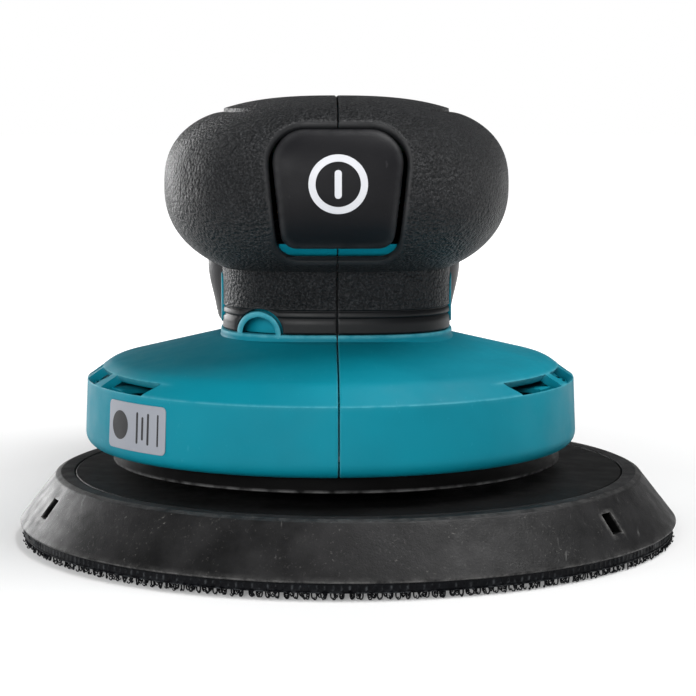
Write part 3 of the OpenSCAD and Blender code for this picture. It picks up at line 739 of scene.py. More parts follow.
def level_points(a, f, r, z, places):
    """One row of the right half, with columns crowded towards the seam at both ends."""
    near = np.minimum(SEAM_EDGE + SEAM_OFFSETS, a * np.linspace(0.9, 0.985, len(SEAM_OFFSETS)))
    seam = np.arccos(np.clip((near / a) ** (PLAN_N / 2), 0, 1))
    u0 = seam[-1]
    x, y = plan_points(a, f, r, np.concatenate([-seam, -u0 + 2 * u0 * places[1:-1], seam[::-1]]))
    return np.stack([x, y, np.full_like(x, z)], -1)


def head_grid(marks, places, t):
    """Points of the right half of the head at an inset, seam columns first and last."""
    return np.array([level_points(*level_at(zone, w, t), places) for zone, w in marks])


def grid_normals(points):
    """Outward normals of a grid whose rows go up and whose columns go round anticlockwise."""
    across = np.gradient(points, axis=1)
    along = np.gradient(points, axis=0)
    normal = np.cross(across, along)
    size = np.linalg.norm(normal, axis=-1, keepdims=True)
    return np.where(size > 1e-9, normal / np.maximum(size, 1e-9), np.array([0.0, 0.0, 1.0]))


def cut_grid(points, keep, ring, axes, region, lift):
    """Removes the cells inside an outline and moves the border onto it. Returns the distances."""
    flat = points[..., list(axes)]
    rows, cols = points.shape[:2]
    distance = np.full((rows, cols), 50.0)
    low = ring.min(0) - 3
    high = ring.max(0) + 3
    close = region(points) & np.all((flat > low) & (flat < high), axis=-1)
    if not close.any():
        return distance
    found, nearest = near_outline(flat[close], ring)
    distance[close] = found
    spots = np.zeros((rows, cols, 2))
    spots[close] = nearest
    mean = (distance[:-1, :-1] + distance[1:, :-1] + distance[:-1, 1:] + distance[1:, 1:]) / 4
    gone = mean < 0
    touch = np.zeros((rows, cols, 2), bool)
    for di in (0, 1):
        for dj in (0, 1):
            touch[di:rows - 1 + di, dj:cols - 1 + dj, 0] |= gone
            touch[di:rows - 1 + di, dj:cols - 1 + dj, 1] |= ~gone & keep
    border = touch[..., 0] & touch[..., 1] & close
    points[border] = lift(spots[border])
    distance[border] = 0
    keep &= ~gone
    return np.where(distance < 0, 0, distance)


def front_cut(ring, t, lip):
    """A cut through the front: outline over x and z, axes, region, lift and radius of the lip."""
    def lift(p):
        return np.stack([p[:, 0], front_y(p[:, 0], p[:, 1], t), p[:, 1]], -1)

    return ring, (0, 2), lambda p: p[..., 1] < 0, lift, lip


def side_cut(ring, t, lip):
    """The same for a cut through a flank, with its outline over y and z."""
    def lift(p):
        return np.stack([side_x(p[:, 0], p[:, 1], t), p[:, 0], p[:, 1]], -1)

    return ring, (1, 2), lambda p: p[..., 0] > 12, lift, lip


def button_ring(grow, drop=0.0):
    """Outline of the button over x and z, grown all round and with its foot lowered."""
    low_a = BUTTON_A - BUTTON_TAPER
    low_r = BUTTON_LOW_R
    top_r = BUTTON_TOP_R
    circles = []
    for s, _ in SIDES:
        circles.append((s * (BUTTON_A - top_r), BUTTON_Z1 - top_r, top_r + grow))
        circles.append((s * (low_a - low_r), BUTTON_Z0 + low_r - drop, low_r + grow))
    return hull_outline(circles)


def arch(half, rise, angles):
    """The arm's arched top: sideways place and height."""
    c = np.cos(angles)
    return half * np.sign(c) * np.abs(c) ** (2 / 3), TAIL_BEND + rise * np.sin(angles) ** (2 / 3)


def tail_ring(grow):
    """Section of the arm, grown all round."""
    half = TAIL_HIGH[0] + grow
    dome = arch(half, TAIL_HIGH[2] + grow - TAIL_BEND, np.linspace(0, math.pi, 120))
    base = np.array([[-half, TAIL_Z0 - grow], [half, TAIL_Z0 - grow]])
    return even_ring(np.vstack([np.stack(dome, 1), base]), 260)


def panel_ring(grow):
    """Outline of a teal flank panel over y and z."""
    spots = ((12, 74), (36, 76), (34, 86), (10, 87.5))
    return hull_outline([(y, z, 4 + grow) for y, z in spots], 20)


def boss_ring(r):
    return hull_outline([(BOSS_Y, BOSS_Z, r)], 8)


def keep_off_seam(points, side):
    """Holds the points of one half on their own side of the seam."""
    points[..., 0] = side * np.maximum(side * points[..., 0], SEAM_EDGE)


def head_skin(side, t, depth, cuts, step, fine):
    """One half of the head's skin: points, inner points, kept cells, lip distances and normals."""
    points = head_grid(head_rows(step, fine), head_columns(step, fine), t)
    keep = np.ones((points.shape[0] - 1, points.shape[1] - 1), bool)
    lips = []
    points[..., 0] *= side
    for ring, axes, region, lift, lip in cuts:
        mirror = side if axes == (1, 2) else 1
        points[..., 0] *= mirror
        lips.append((cut_grid(points, keep, ring, axes, region, lift), lip))
        points[..., 0] *= mirror
    normal = grid_normals(points) * side
    inner = points - normal * (depth - t)
    keep_off_seam(inner, side)
    return points, inner, keep, lips, normal


def grip(side, name):
    """One half of the rubber skin of the head and neck."""
    cuts = [
        front_cut(button_ring(OPENING_GAP, OPENING_DROP), 0, 0.9),
        side_cut(panel_ring(0.25), 0, 0.45),
        side_cut(boss_ring(BOSS_R + 0.2), 0, 0.4),
    ]
    if side < 0:
        cuts.append(front_cut(hull_outline([(ARCH_X, ARCH_Z, ARCH_R + 0.35)], 12), 0, 0.3))
    points, inner, keep, lips, normal = head_skin(side, 0.0, RUBBER, cuts, 0.75, 0.34)
    x = np.abs(points[..., 0])
    z = points[..., 2]
    gap = np.maximum(x - SEAM_EDGE, 0)
    drop = round_drop(gap, 0.4)
    wear_and_highlight = fade(gap, 0.5) * 0.6
    for distance, lip in lips:
        drop = np.maximum(drop, round_drop(distance, lip))
        wear_and_highlight = np.maximum(wear_and_highlight, fade(distance - lip * 0.4, 0.5) * 0.7)
    for g in GROOVES:
        drop = np.maximum(drop, 0.42 * fade(z - g, 0.32))
    drop = np.maximum(drop, round_drop(z - COLLAR_Z, 0.3))
    outside = np.clip(level_z(z)[0] - CROWN_A, 0, 9)
    over = smooth_step(z, 88, 93) * smooth_step(x, 15, 22) * (outside > 0.03)
    drop = drop + 0.75 * np.exp(-outside / 2.2) * over
    grain = smooth_step(z, GROOVES[1] + 0.2, GROOVES[1] + 0.9) * smooth_step(lips[0][0], 0.2, 1.2)
    work = Mesh()
    work.shell(points - normal * drop[..., None], inner, keep, wear_and_highlight, grain)
    work.build(f"grip_skin_{name}", "grip_rubber", "housing", [f"grip_{name}"], 50)


# ---- button ----
def patch(name, slot, body, nodes, ring, surface, depth, radius, scales, edge_wear_and_highlight=0.0):
    """A closed piece inside an outline, domed by a surface, with a rounded edge."""
    centre = (ring.max(0) + ring.min(0)) / 2
    rows = [surface(ring[:, 0], ring[:, 1], np.full(len(ring), depth))]
    wear_and_highlight_rows = [np.zeros(len(ring))]
    for s in scales:
        flat = centre + (ring - centre) * s
        distance = -near_outline(flat, ring)[0]
        drop = round_drop(distance, radius) if radius > 0 else 0 * distance
        rows.append(surface(flat[:, 0], flat[:, 1], drop))
        wear_and_highlight_rows.append(fade(distance - radius * 0.5, max(radius, 0.2)) * edge_wear_and_highlight)
    work = Mesh()
    work.tube(np.array(rows), np.array(wear_and_highlight_rows), True)
    return work.build(name, slot, body, nodes)


def front_at(t):
    """A surface over x and z at an inset of the head's front; drop moves it straight back."""
    return lambda x, z, drop: np.stack([x, front_y(x, z, t) + drop, z], -1)


def button():
    insets = (0.0, 0.004, 0.012, 0.024, 0.04, 0.06, 0.085, 0.12, 0.2, 0.32, 0.46, 0.6, 0.74, 0.86, 0.95, 0.99)
    # The last value pales the button's rim: painted highlight along its rounded edge.
    patch("button_cap", "button_plastic", "button", ["power_button"], button_ring(0.0), front_at(BUTTON_DROP),
          3.2, 1.1, 1 - np.array(insets), 0.5)


def under_button():
    """Strip of the housing and black ledge that show under the button, one half on each side."""
    scales = (1.0, 0.995, 0.98, 0.94, 0.8, 0.6, 0.4, 0.2, 0.05)
    for side, name in SIDES:
        for kind, slot, inset, z0, z1, reach in (
            ("strip", "teal_plastic", 1.75, 65.0, 68.0, 12.6),
            ("ledge", "tail_plastic", 0.75, 62.9, 64.95, 12.3),
        ):
            a = SEAM_EDGE * side
            b = reach * side
            ring = fill_path(np.array([(a, z0), (b - side * 0.6, z0), (b, z1), (a, z1), (a, z0)]), 0.5)[:-1]
            patch(f"{kind}_{name}", slot, "housing", (), ring[::side], front_at(inset), 2.0, 0.22, scales)


def icon():
    """White ring and bar printed on the button."""
    surface = front_at(BUTTON_DROP)
    turn = np.linspace(0, 2 * math.pi, 97)[:-1]
    sunk = -0.02
    lift = 0.07
    rows = []
    for r, out in ((4.7, sunk), (4.72, lift), (4.95, lift), (5.95, lift), (6.18, lift), (6.2, sunk)):
        rows.append(surface(r * np.cos(turn), ICON_Z + r * np.sin(turn), -out))
    work = Mesh()
    work.tube(np.array(rows + rows[:1]))
    half = 2.25
    ring = hull_outline([(0, ICON_Z - half, 0.75), (0, ICON_Z + half, 0.75)], 8)
    middle = np.array([0, ICON_Z])
    rows = []
    for s, out in ((1.0, sunk), (0.98, lift), (0.6, lift), (0.1, lift)):
        flat = middle + (ring - middle) * np.array([s, 1 - (1 - s) * 0.25])
        rows.append(surface(flat[:, 0], flat[:, 1], -out))
    work.tube(np.array(rows), 0.0, True)
    work.build("icon_mark", "icon_print", "button", ["button_icon"])


# ---- bell ----
def bell_profile():
    """Section of the bell from the inside of its foot up to the neck."""
    foot = BELL_Z
    inside = SHOULDER[0] - 0.2
    return fillet_path([(inside, foot + 0.9, 0), (inside, foot, 0.5), (BELL_R, foot, BELL_FOOT_R),
                        (BELL_R - BELL_TAPER, CREASE_Z, 0.35), (*SHOULDER, 7.0), (*ROOF, 0),
                        (21.0, ROOF[1] + 0.35, 0)], 0.8)


def bell_rows():
    """Profile rows of the bell, with rows exactly on the vents' upper and lower edges."""
    path = bell_profile()
    rows = [(float(i), p) for i, p in enumerate(path)]
    for z in VENT_ROWS:
        for d in (-0.3, -0.12, 0.0, 0.12, 0.3):
            k = [i for i in range(len(path) - 1) if path[i, 1] <= z + d < path[i + 1, 1]][0]
            f = (z + d - path[k, 1]) / (path[k + 1, 1] - path[k, 1])
            rows.append((k + f, path[k] + f * (path[k + 1] - path[k])))
    rows.sort(key=lambda row: row[0])
    out = [rows[0][1]]
    for _, p in rows[1:]:
        if np.linalg.norm(p - out[-1]) > 0.05:
            out.append(p)
    return np.array(out)


def bell_columns():
    """Plan angles of the right half, with columns exactly on the vents' ends."""
    angles = set(np.round(np.arange(-80, 80.01, 0.9), 3))
    for end in np.ravel(VENT_SPANS):
        angles = {v for v in angles if abs(v - end) > 0.5}
        angles |= {end, end - 0.3, end + 0.3}
    return np.array(sorted(angles))


def bell_points(rows, angles, side):
    """Points of one half of the bell; the vents' ends slant between their lower and upper edges."""
    near = SEAM_EDGE + SEAM_OFFSETS
    out = []
    for r, z in rows:
        first = np.degrees(np.arccos((near - side * BELL_X) / r))
        low = np.linspace(-first[-1], angles[0], SEAM_GAP_COLUMNS + 2)[1:-1]
        slant = VENT_SLANT * smooth_step(VENT_ROWS[1] - z, 0, VENT_ROWS[1] - VENT_ROWS[0])
        bent = angles.copy()
        for span in VENT_SPANS:
            for end, lean in zip(span, (1.0, 0.35)):
                bent = bent + slant * lean * hump(angles - end, 2.2) * (1 if end < 0 else -1)
        t = np.radians(np.concatenate([-first, low, bent, -low[::-1], first[::-1]]))
        out.append(np.stack([BELL_X + side * r * np.cos(t), r * np.sin(t), np.full_like(t, z)], -1))
    return np.array(out)


def bell(side, name):
    """One half of the bell with its vents, of the plinth under the collar and of the head's core."""
    rows = bell_rows()
    angles = bell_columns()
    points = bell_points(rows, angles, side)
    keep = np.ones((points.shape[0] - 1, points.shape[1] - 1), bool)
    lead = len(SEAM_OFFSETS) + SEAM_GAP_COLUMNS
    middle_z = (rows[1:, 1] + rows[:-1, 1]) / 2
    middle_a = (angles[1:] + angles[:-1]) / 2
    open_rows = (middle_z > VENT_ROWS[0]) & (middle_z < VENT_ROWS[1]) & (rows[1:, 0] > 40)
    for a, b in VENT_SPANS:
        inside = (middle_a > a) & (middle_a < b)
        keep[:, lead:lead + len(inside)] &= ~(open_rows[:, None] & inside[None])
    normal = grid_normals(points) * side
    outward = np.sum(normal * (points - np.array([BELL_X, 0, 30])), -1, keepdims=True)
    normal = normal * np.where(outward < 0, -1, 1)
    gap = np.maximum(np.abs(points[..., 0]) - SEAM_EDGE, 0)
    across = points[..., 0] - BELL_X
    z = points[..., 2]
    wall = np.hypot(across, points[..., 1]) > SHOULDER[0] + 0.2
    # Paler seam, crease and vent edges: partly worn whitening, partly painted highlight where the edges catch
    # the light.
    wear_and_highlight = np.maximum(fade(gap, 0.3) * 0.3, 0.35 * fade(z - CREASE_Z, 0.3) * wall)
    bearing = np.degrees(np.arctan2(points[..., 1], side * across))
    flank = np.clip((50 - np.abs(bearing)) / 5, 0, 1)
    for v in VENT_ROWS:
        wear_and_highlight = np.maximum(wear_and_highlight, fade(z - v, 0.35) * flank * 0.45)
    inner = points - normal * BELL_SHELL
    keep_off_seam(inner, side)
    work = Mesh()
    work.shell(points - normal * round_drop(gap, 0.35)[..., None], inner, keep, wear_and_highlight)
    plinth(work, side)
    core(work, side)
    work.build(f"bell_{name}", "teal_plastic", "housing", [f"shell_{name}"], 38)


def plinth(work, side):
    """Step of the housing that the rubber collar stands on, blended into the roof."""
    top = COLLAR_Z - 0.12
    step = 0.45
    blend = 2.2
    levels = [(step + blend * (1 - up), ROOF[1] - 1.5 + blend * (1 - out)) for up, out in quarter(8)]
    levels += [(step, top - 0.4), (0.42, top - 0.2), (0.3, top - 0.06), (0.1, top), (-1.6, top)]
    places = head_columns(1.2, 0.8)
    points = np.array([level_points(*(v + grow for v in NECK), z, places) for grow, z in levels])
    points[..., 2] -= round_drop(points[..., 0] - SEAM_EDGE, 0.3) * 0.7
    points[..., 0] *= side
    wear_and_highlight = np.zeros(points.shape[:2])
    # Paler top edge of the step: painted highlight along its rounded edge.
    wear_and_highlight[-5:-1] = 0.5
    inner = points.copy()
    inner[..., :2] *= 0.93
    keep_off_seam(inner, side)
    work.shell(points, inner, None, wear_and_highlight)


def core(work, side):
    """Hard core of the head under the rubber, seen round the button and at the openings."""
    cuts = [
        front_cut(button_ring(OPENING_GAP + 0.6, OPENING_DROP), CORE_IN, 0),
        side_cut(boss_ring(BOSS_R - 0.7), CORE_IN, 0),
    ]
    points, inner, keep = head_skin(side, CORE_IN, CORE_OUT, cuts, 1.6, 0.7)[:3]
    work.shell(points, inner, keep)


def bosses():
    """Screw bosses that show in the round openings of the rubber, with a deep well on the right."""
    base = BOSS_SEAT - 3
    r = BOSS_R - 0.12
    for (side, name), well, bore in zip(SIDES, (BOSS_REACH - 1.0, BOSS_SEAT), (2.2, 3.3)):
        corners = [(0.02, base, 0), (r, base, 0), (r, BOSS_REACH, 0.4), (bore, BOSS_REACH, 0.25),
                   (bore, well, 0), (0.02, well, 0), (0.02, base, 0)]
        y, z, x = turned(fillet_path(corners, 0.6), np.linspace(0, 2 * math.pi, 48, endpoint=False))
        work = Mesh()
        work.tube(np.stack([side * x, BOSS_Y + y, BOSS_Z + z], -1))
        work.build(f"screw_bosses_{name}", "teal_plastic", "housing")


def latch_skirt():
    """Thin skirt behind the window of the battery, which the latch carries down over its spring."""
    low, high = box_mm("battery_latch")
    y0 = box_mm("latch_spring")[1][1] + 0.06
    y1 = y0 + 0.3
    half = high[0] - 0.2
    foot = low[2] - 7.6
    top = low[2] + 0.4
    corners = [(-half, foot, 1.0), (half, foot, 1.0), (half, top, 0), (-half, top, 0), (-half, foot, 1.0)]
    ring = fill_path(fillet_path(corners, 0.5), 0.6)[:-1]
    mid = ring.mean(0)
    rows = []
    for scale, y in ((0.02, y0), (0.5, y0), (0.995, y0), (1.0, y0 + 0.05),
                     (1.0, y1 - 0.05), (0.995, y1), (0.5, y1), (0.02, y1)):
        flat = mid + (ring - mid) * scale
        rows.append(np.stack([flat[:, 0], np.full(len(flat), y), flat[:, 1]], -1))
    work = Mesh()
    work.tube(np.array(rows), 0.0, True)
    work.build("latch_skirt", "battery_plastic", "latch")


def seam_tongue():
    """Tongue of the housing behind the seam of the head and neck, so the split shows no inside."""
    marks = head_rows(1.6, 0.7)
    places = head_columns(1.6, 0.7)
    outer = head_grid(marks, places, CORE_IN + 0.5)
    inner = head_grid(marks, places, CORE_IN + 1.5)
    half = 0.9
    z = outer[:, 0, 2]
    work = Mesh()
    for column, wanted in ((0, z < 60.5), (0, z > 94.5), (-1, z > 0)):
        a = outer[wanted][:, column]
        b = inner[wanted][:, column]
        corners = []
        for line, x in ((a, -half), (a, half), (b, half), (b, -half)):
            corners.append(np.stack([np.full(len(line), x), line[:, 1], line[:, 2]], -1))
        work.tube(np.stack(corners, 1), 0.0, True)
    work.build("seam_tongue", "tail_plastic", "housing")


def vent_frames():
    """Ledge and thin ribs of the housing just inside the vents."""
    r0 = 46.5
    r1 = 52.9
    z = VENT_ROWS[0] - 0.12
    corners = [(r0, z - 0.9, 0), (r1, z - 0.9, 0), (r1, z, 0.2), (r0, z, 0.2), (r0, z - 0.9, 0)]
    path = fillet_path(corners, 1.0)
    thin = math.radians(0.63)
    for side, name in SIDES:
        x, y, tall = turned(path, np.radians(np.linspace(-31, 46, 100)))
        work = Mesh()
        o = work.grid(np.stack([BELL_X + side * x, y, tall], -1))
        work.skin(o)
        work.cap(o[:-1, 0])
        work.cap(o[:-1, -1], True)
        for q in np.radians(VENT_RIBS):
            rows = []
            for r in (46.6, 49.6, 51.3):
                top = SHOULDER[1] - 1.85 - max(0, r - 49.6) * 1.05
                corners = [(q - thin, z - 0.1), (q + thin, z - 0.1), (q + thin, top), (q - thin, top)]
                rows.append([(BELL_X + side * r * math.cos(v), r * math.sin(v), h) for v, h in corners])
            work.tube(np.array(rows), 0.0, True)
        work.build(f"vent_frame_{name}", "teal_plastic", "housing")


def flank_at(side, inset, proud=0.0):
    """A surface over y and z at an inset of the head's flank; drop moves it straight in."""
    return lambda y, z, drop: np.stack([side * (side_x(y, z, inset) + proud - drop), y, z], -1)


def neck_panels():
    """Small panels of the housing let into the flanks of the neck."""
    ring = hull_outline([(y, z, 2.6) for y in (-4.0, 14.0) for z in (51.3, 57.0)], 16)
    scales = (1.0, 0.995, 0.985, 0.965, 0.93, 0.85, 0.7, 0.5, 0.3, 0.1)
    for side, name in SIDES:
        wall = flank_at(side, 0.0, 0.35)
        patch(f"neck_panel_{name}", "teal_plastic", "housing", (), ring, wall, 1.4, 0.3, scales)


def side_panels():
    """Teal panels let into the flanks of the head, with rounded edges."""
    tail = tail_ring(0.45)
    ring = panel_ring(-0.02)
    x = side_x(ring[:, 0], ring[:, 1])
    under_arm = (near_outline(np.stack([x, ring[:, 1]], 1), tail)[0] < 0) & (ring[:, 0] > 26.3)
    ring = even_ring(ring[~under_arm], 160)
    scales = 1 - np.array([0.0, 0.006, 0.015, 0.03, 0.05, 0.09, 0.2, 0.35, 0.5, 0.65, 0.8, 0.93])
    for side, name in SIDES:
        wall = flank_at(side, 0.1)
        patch(f"flank_panel_{name}", "teal_plastic", "housing", [f"side_panel_{name}"], ring, wall,
              1.6, 0.5, scales, 0.25)


def arch_hood():
    """Half-round hood over the small recess at the foot of the neck."""
    turn = np.linspace(math.radians(-12), math.radians(192), 49)
    # The third value of each row pales the rim: painted highlight on the rounded rim of the hood.
    section = [(ARCH_R - 0.02, 9.0, 0), (ARCH_R, -0.1, 0.3), (ARCH_R - 0.12, -0.38, 0.8),
               (ARCH_R - 0.45, -0.5, 0.5), (3.95, -0.5, 0.3), (3.72, -0.35, 0.3), (3.65, 0.0, 0),
               (3.62, 5.6, 0), (0.05, 5.6, 0)]
    rows = []
    for r, back, _ in section:
        x = ARCH_X + r * np.cos(turn)
        z = ARCH_Z + r * np.sin(turn) - 0.25
        rows.append(np.stack([x, front_y(x, np.full_like(x, 50.0)) + back, z], -1))
    work = Mesh()
    o = work.grid(np.array(rows), np.array([wear_and_highlight for _, _, wear_and_highlight in section])[:, None])
    work.skin(o)
    work.build("arch_hood", "teal_plastic", "housing", (), 50)


# ---- pad ----
def revolve(path, centre_x, count, wear_and_highlight=0.0, shape=None):
    """A closed ring of profile rows about an upright axis."""
    t = np.linspace(0, 2 * math.pi, count, endpoint=False)
    x, y, z = turned(path, t)
    if shape is not None:
        grow = shape(t, path)
        x = x + grow * np.cos(t)
        y = y + grow * np.sin(t)
    work = Mesh()
    work.tube(np.stack([centre_x + x, y, z], -1), wear_and_highlight)
    return work


def pocket_columns():
    """Plan angles round the pad, with columns exactly on the pockets' ends."""
    angles = list(np.arange(0, 360, 0.75))
    wide = math.degrees(POCKET_HALF / POCKET_R)
    for a in POCKET_ANGLES:
        angles = [v for v in angles if abs(v - a) > wide + 0.4]
        angles += [a + d for d in (-wide - 0.3, -wide, -wide / 2, 0, wide / 2, wide, wide + 0.3)]
    angles = np.array(sorted(angles))
    middle = (angles + np.roll(angles, -1)) / 2
    pocket = np.zeros(len(angles), bool)
    for a in POCKET_ANGLES:
        pocket |= np.abs(middle - a) < wide
    pocket[-1] = False
    return angles, pocket


def pad_body():
    """Bevelled foam with a worn rim and three clip pockets in its flank."""
    foot = HOOK_T + 0.02
    bore = 8.1
    seat = PAD_TOP - 2.9
    low, high = POCKET_Z
    path = fillet_path([(bore, bore, 0), (bore, foot, 0), (PAD_R - 0.5, foot, 0.2),
                        (PAD_R, HOOK_T + 0.35, 0.3), (PAD_TOP_R + 0.35, PAD_TOP - 0.55, 0.9),
                        (PAD_TOP_R - 0.9, PAD_TOP, 0.6), (PLATE_R + 0.3, PAD_TOP, 0.25),
                        (PLATE_R + 0.25, seat, 0), (bore, seat, 0)], 1.1)
    slope = np.nonzero((path[:, 0] > PAD_TOP_R + 0.8) & (path[:, 1] > HOOK_T + 0.6))[0]
    for target in POCKET_Z:
        best = slope[np.argmin(np.abs(path[slope, 1] - target))]
        line = (path[slope[-1]] - path[slope[0]]) / (path[slope[-1], 1] - path[slope[0], 1])
        path[best] = path[best] + line * (target - path[best, 1])
    angles, pocket = pocket_columns()
    t = np.radians(angles)
    x, y, z = turned(path, t)
    middle_z = (path[1:, 1] + path[:-1, 1]) / 2
    bevel = (middle_z > low) & (middle_z < high) & (path[1:, 0] > PAD_TOP_R)
    open_cells = bevel[:, None] & pocket[None]
    worn = 0.85 * hump(path[:, 1] - PAD_TOP + 0.25, 0.13) * (path[:, 0] > PAD_TOP_R - 0.9)
    worn = np.maximum(worn, 0.25 * hump(path[:, 1] - HOOK_T - 0.3, 0.25) * (path[:, 0] > PAD_R - 1.2))
    wear_and_highlight = np.repeat(worn[:, None], len(t), 1)
    for a in POCKET_ANGLES:
        off = np.maximum(np.abs(angles - a) * math.radians(POCKET_R) - POCKET_HALF, 0)
        rise = np.maximum(np.abs(path[:, 1] - (low + high) / 2) - (high - low) / 2, 0)
        lip = fade(np.hypot(off[None], rise[:, None]), 0.75) * (path[:, 0] > 67)[:, None]
        wear_and_highlight = np.maximum(wear_and_highlight, 0.35 * lip)
    work = Mesh()
    o = work.grid(np.stack([PAD_X + x, y, z], -1), wear_and_highlight)
    work.skin(o, ~open_cells, True)
    floor = path - np.array([POCKET_DEEP * math.cos(math.radians(POCKET_SLOPE)), 0.4])
    x, y, z = turned(floor, t)
    # The pockets' inner faces carry the grain mark, which the foam's finish paints near black as painted
    # shade.
    n = work.grid(np.stack([PAD_X + x, y, z], -1), 0.0, 1.0)
    work.skin(n, open_cells, True)
    work.walls(o, n, open_cells, True)
    work.skin(np.stack([o[-1], o[0]]), None, True)
    work.build("pad_body", "pad_rubber", "pad", ["pad_foam"], 42)


def pad_plate():
    """Flat satin plate on top of the pad, with a hub and shallow rings."""
    top = PAD_TOP - 0.05
    under = 11.9
    hub = 16.8
    path = fillet_path([(3.2, under, 0), (PLATE_R, under, 0), (PLATE_R, top, 0.3), (22.0, top, 1.0),
                        (18.0, top + 0.2, 0.6), (17.6, hub, 0.5), (9.0, hub, 0), (3.2, hub, 0)], 1.6)
    work = revolve(np.vstack([path, path[:1]]), PAD_X, 240)
    work.build("pad_plate", "plate_plastic", "pad", ["backing_plate"], 40)


def hook_tape():
    """Carrier of the hook layer: a band with upright loops and a thin pale line."""
    r = PAD_R - 0.85
    path = fillet_path([(0.4, 1.45, 0), (r - 0.4, 1.45, 0.1), (r + 0.05, 1.5, 0.08), (r + 0.05, 1.72, 0.05),
                        (r - 0.35, 1.8, 0.05), (r - 0.35, 3.15, 0), (r - 0.2, HOOK_T - 0.03, 0),
                        (0.4, HOOK_T - 0.03, 0)], 0.45)
    coarse = [path[0]]
    for p in path[1:]:
        run = np.linalg.norm(p - coarse[-1])
        if run > 0.2 and (p[0] > r - 3 or run > 6):
            coarse.append(p)
    coarse.append(path[-1])
    path = np.array(coarse)
    loops = 282
    count = loops * 8

    def ribs(t, rows):
        inside = smooth_step(rows[:, 1], 1.85, 2.1) * (1 - smooth_step(rows[:, 1], 2.95, 3.2))
        tall = np.clip((np.cos(t * loops) - 0.2) / 0.8, 0, 1)
        lively = 0.6 + 0.4 * np.sin(t * 37 + 3 * np.sin(t * 11))
        return (inside * (rows[:, 0] > r - 0.6))[:, None] * (tall * lively)[None] * 0.32

    pale = hump(path[:, 1] - HOOK_ROOT, 0.14) * (path[:, 0] > r - 0.5)
    band = (path[:, 1] > 1.9) & (path[:, 1] < 3.1) & (path[:, 0] > r - 0.6)
    t = np.linspace(0, 2 * math.pi, count, endpoint=False)
    tall = np.clip((np.cos(t * loops) - 0.55) / 0.45, 0, 1)
    marks = np.maximum(pale[:, None] * np.ones_like(t)[None], 0.8 * band[:, None] * tall[None])
    work = revolve(np.vstack([path, path[:1]]), PAD_X, count, np.vstack([marks, marks[:1]]), ribs)
    work.build("hook_carrier", "hook_fabric", "pad", ["hook_layer"], 60)


def hook_spots(limit):
    """Places and directions of the hooks: rows over the face and two rings at the edge."""
    pitch_x = 1.66
    pitch_y = 1.5
    spots = []
    for i, x in enumerate(np.arange(-limit, limit + 0.01, pitch_x)):
        for y in np.arange(-limit + (i % 2) * pitch_y / 2, limit, pitch_y):
            if math.hypot(x, y) < limit:
                spots.append((x, y, (i % 2) * math.pi))
    ring = 250
    edge = limit + 0.55
    for k in range(ring):
        a = 2 * math.pi * k / ring
        b = a + 0.012
        spots.append((limit * math.cos(a), limit * math.sin(a), a + math.pi / 2))
        spots.append((edge * math.cos(b), edge * math.sin(b), a - math.pi / 2))
    return np.array(spots)


def hook_shape(sides):
    """One hook: a bent wire that thins towards its tip, as rings of points."""
    path = np.array([[0.0, HOOK_ROOT], [-0.03, 0.95], [0.04, 0.5], [0.24, 0.22], [0.5, 0.2], [0.68, 0.42],
                     [0.66, 0.66]])
    width = np.array([0.2, 0.17, 0.16, 0.15, 0.14, 0.13, 0.08])[:, None]
    turn = np.linspace(0, 2 * math.pi, sides, endpoint=False)
    along = np.gradient(path, axis=0)
    along /= np.linalg.norm(along, axis=1, keepdims=True)
    x = path[:, :1] + along[:, 1:] * width * np.cos(turn)
    z = path[:, 1:] - along[:, :1] * width * np.cos(turn)
    return np.stack([x, width * np.sin(turn), z], -1)


def hooks():
    """Rows of small curled hooks under the pad, each a bent wire."""
    rng = np.random.default_rng(7)
    limit = PAD_R - 0.95
    spots = hook_spots(PAD_R - 1.45)
    count = len(spots)
    spots[:, :2] += rng.normal(0, 0.12, (count, 2))
    far = np.hypot(spots[:, 0], spots[:, 1])
    over = far > limit
    spots[over, :2] *= (limit / far[over])[:, None]
    yaw = spots[:, 2] + rng.normal(0, 0.5, count)
    tall = rng.uniform(0.86, 1.0, count)[:, None, None]
    sides = 5
    local = hook_shape(sides)[None]
    rows = local.shape[1]
    cos = np.cos(yaw)[:, None, None]
    sin = np.sin(yaw)[:, None, None]
    x = PAD_X + spots[:, 0][:, None, None] + local[..., 0] * cos - local[..., 1] * sin
    y = spots[:, 1][:, None, None] + local[..., 0] * sin + local[..., 1] * cos
    z = np.maximum(HOOK_ROOT - (HOOK_ROOT - local[..., 2]) * tall, 0.01)
    base = np.arange(rows * sides).reshape(rows, sides)
    a = base[:-1]
    b = base[1:]
    quads = np.stack([a, np.roll(a, -1, 1), np.roll(b, -1, 1), b], -1).reshape(-1, 4)
    first = (np.arange(count) * rows * sides)[:, None]
    wear_and_highlight = np.linspace(0, 0.3, rows)[None, :, None] * np.ones((count, rows, sides))
    work = Mesh()
    work.grid(np.stack([x, y, z], -1).reshape(count * rows, sides, 3), wear_and_highlight.reshape(count * rows, sides))
    work.faces.extend((quads[None] + first[..., None]).reshape(-1, 4).tolist())
    work.faces.extend((base[-1][None] + first).tolist())
    work.faces.extend((base[0][::-1][None] + first).tolist())
    work.build("hook_field", "hook_fabric", "pad", (), 180, 0.0)


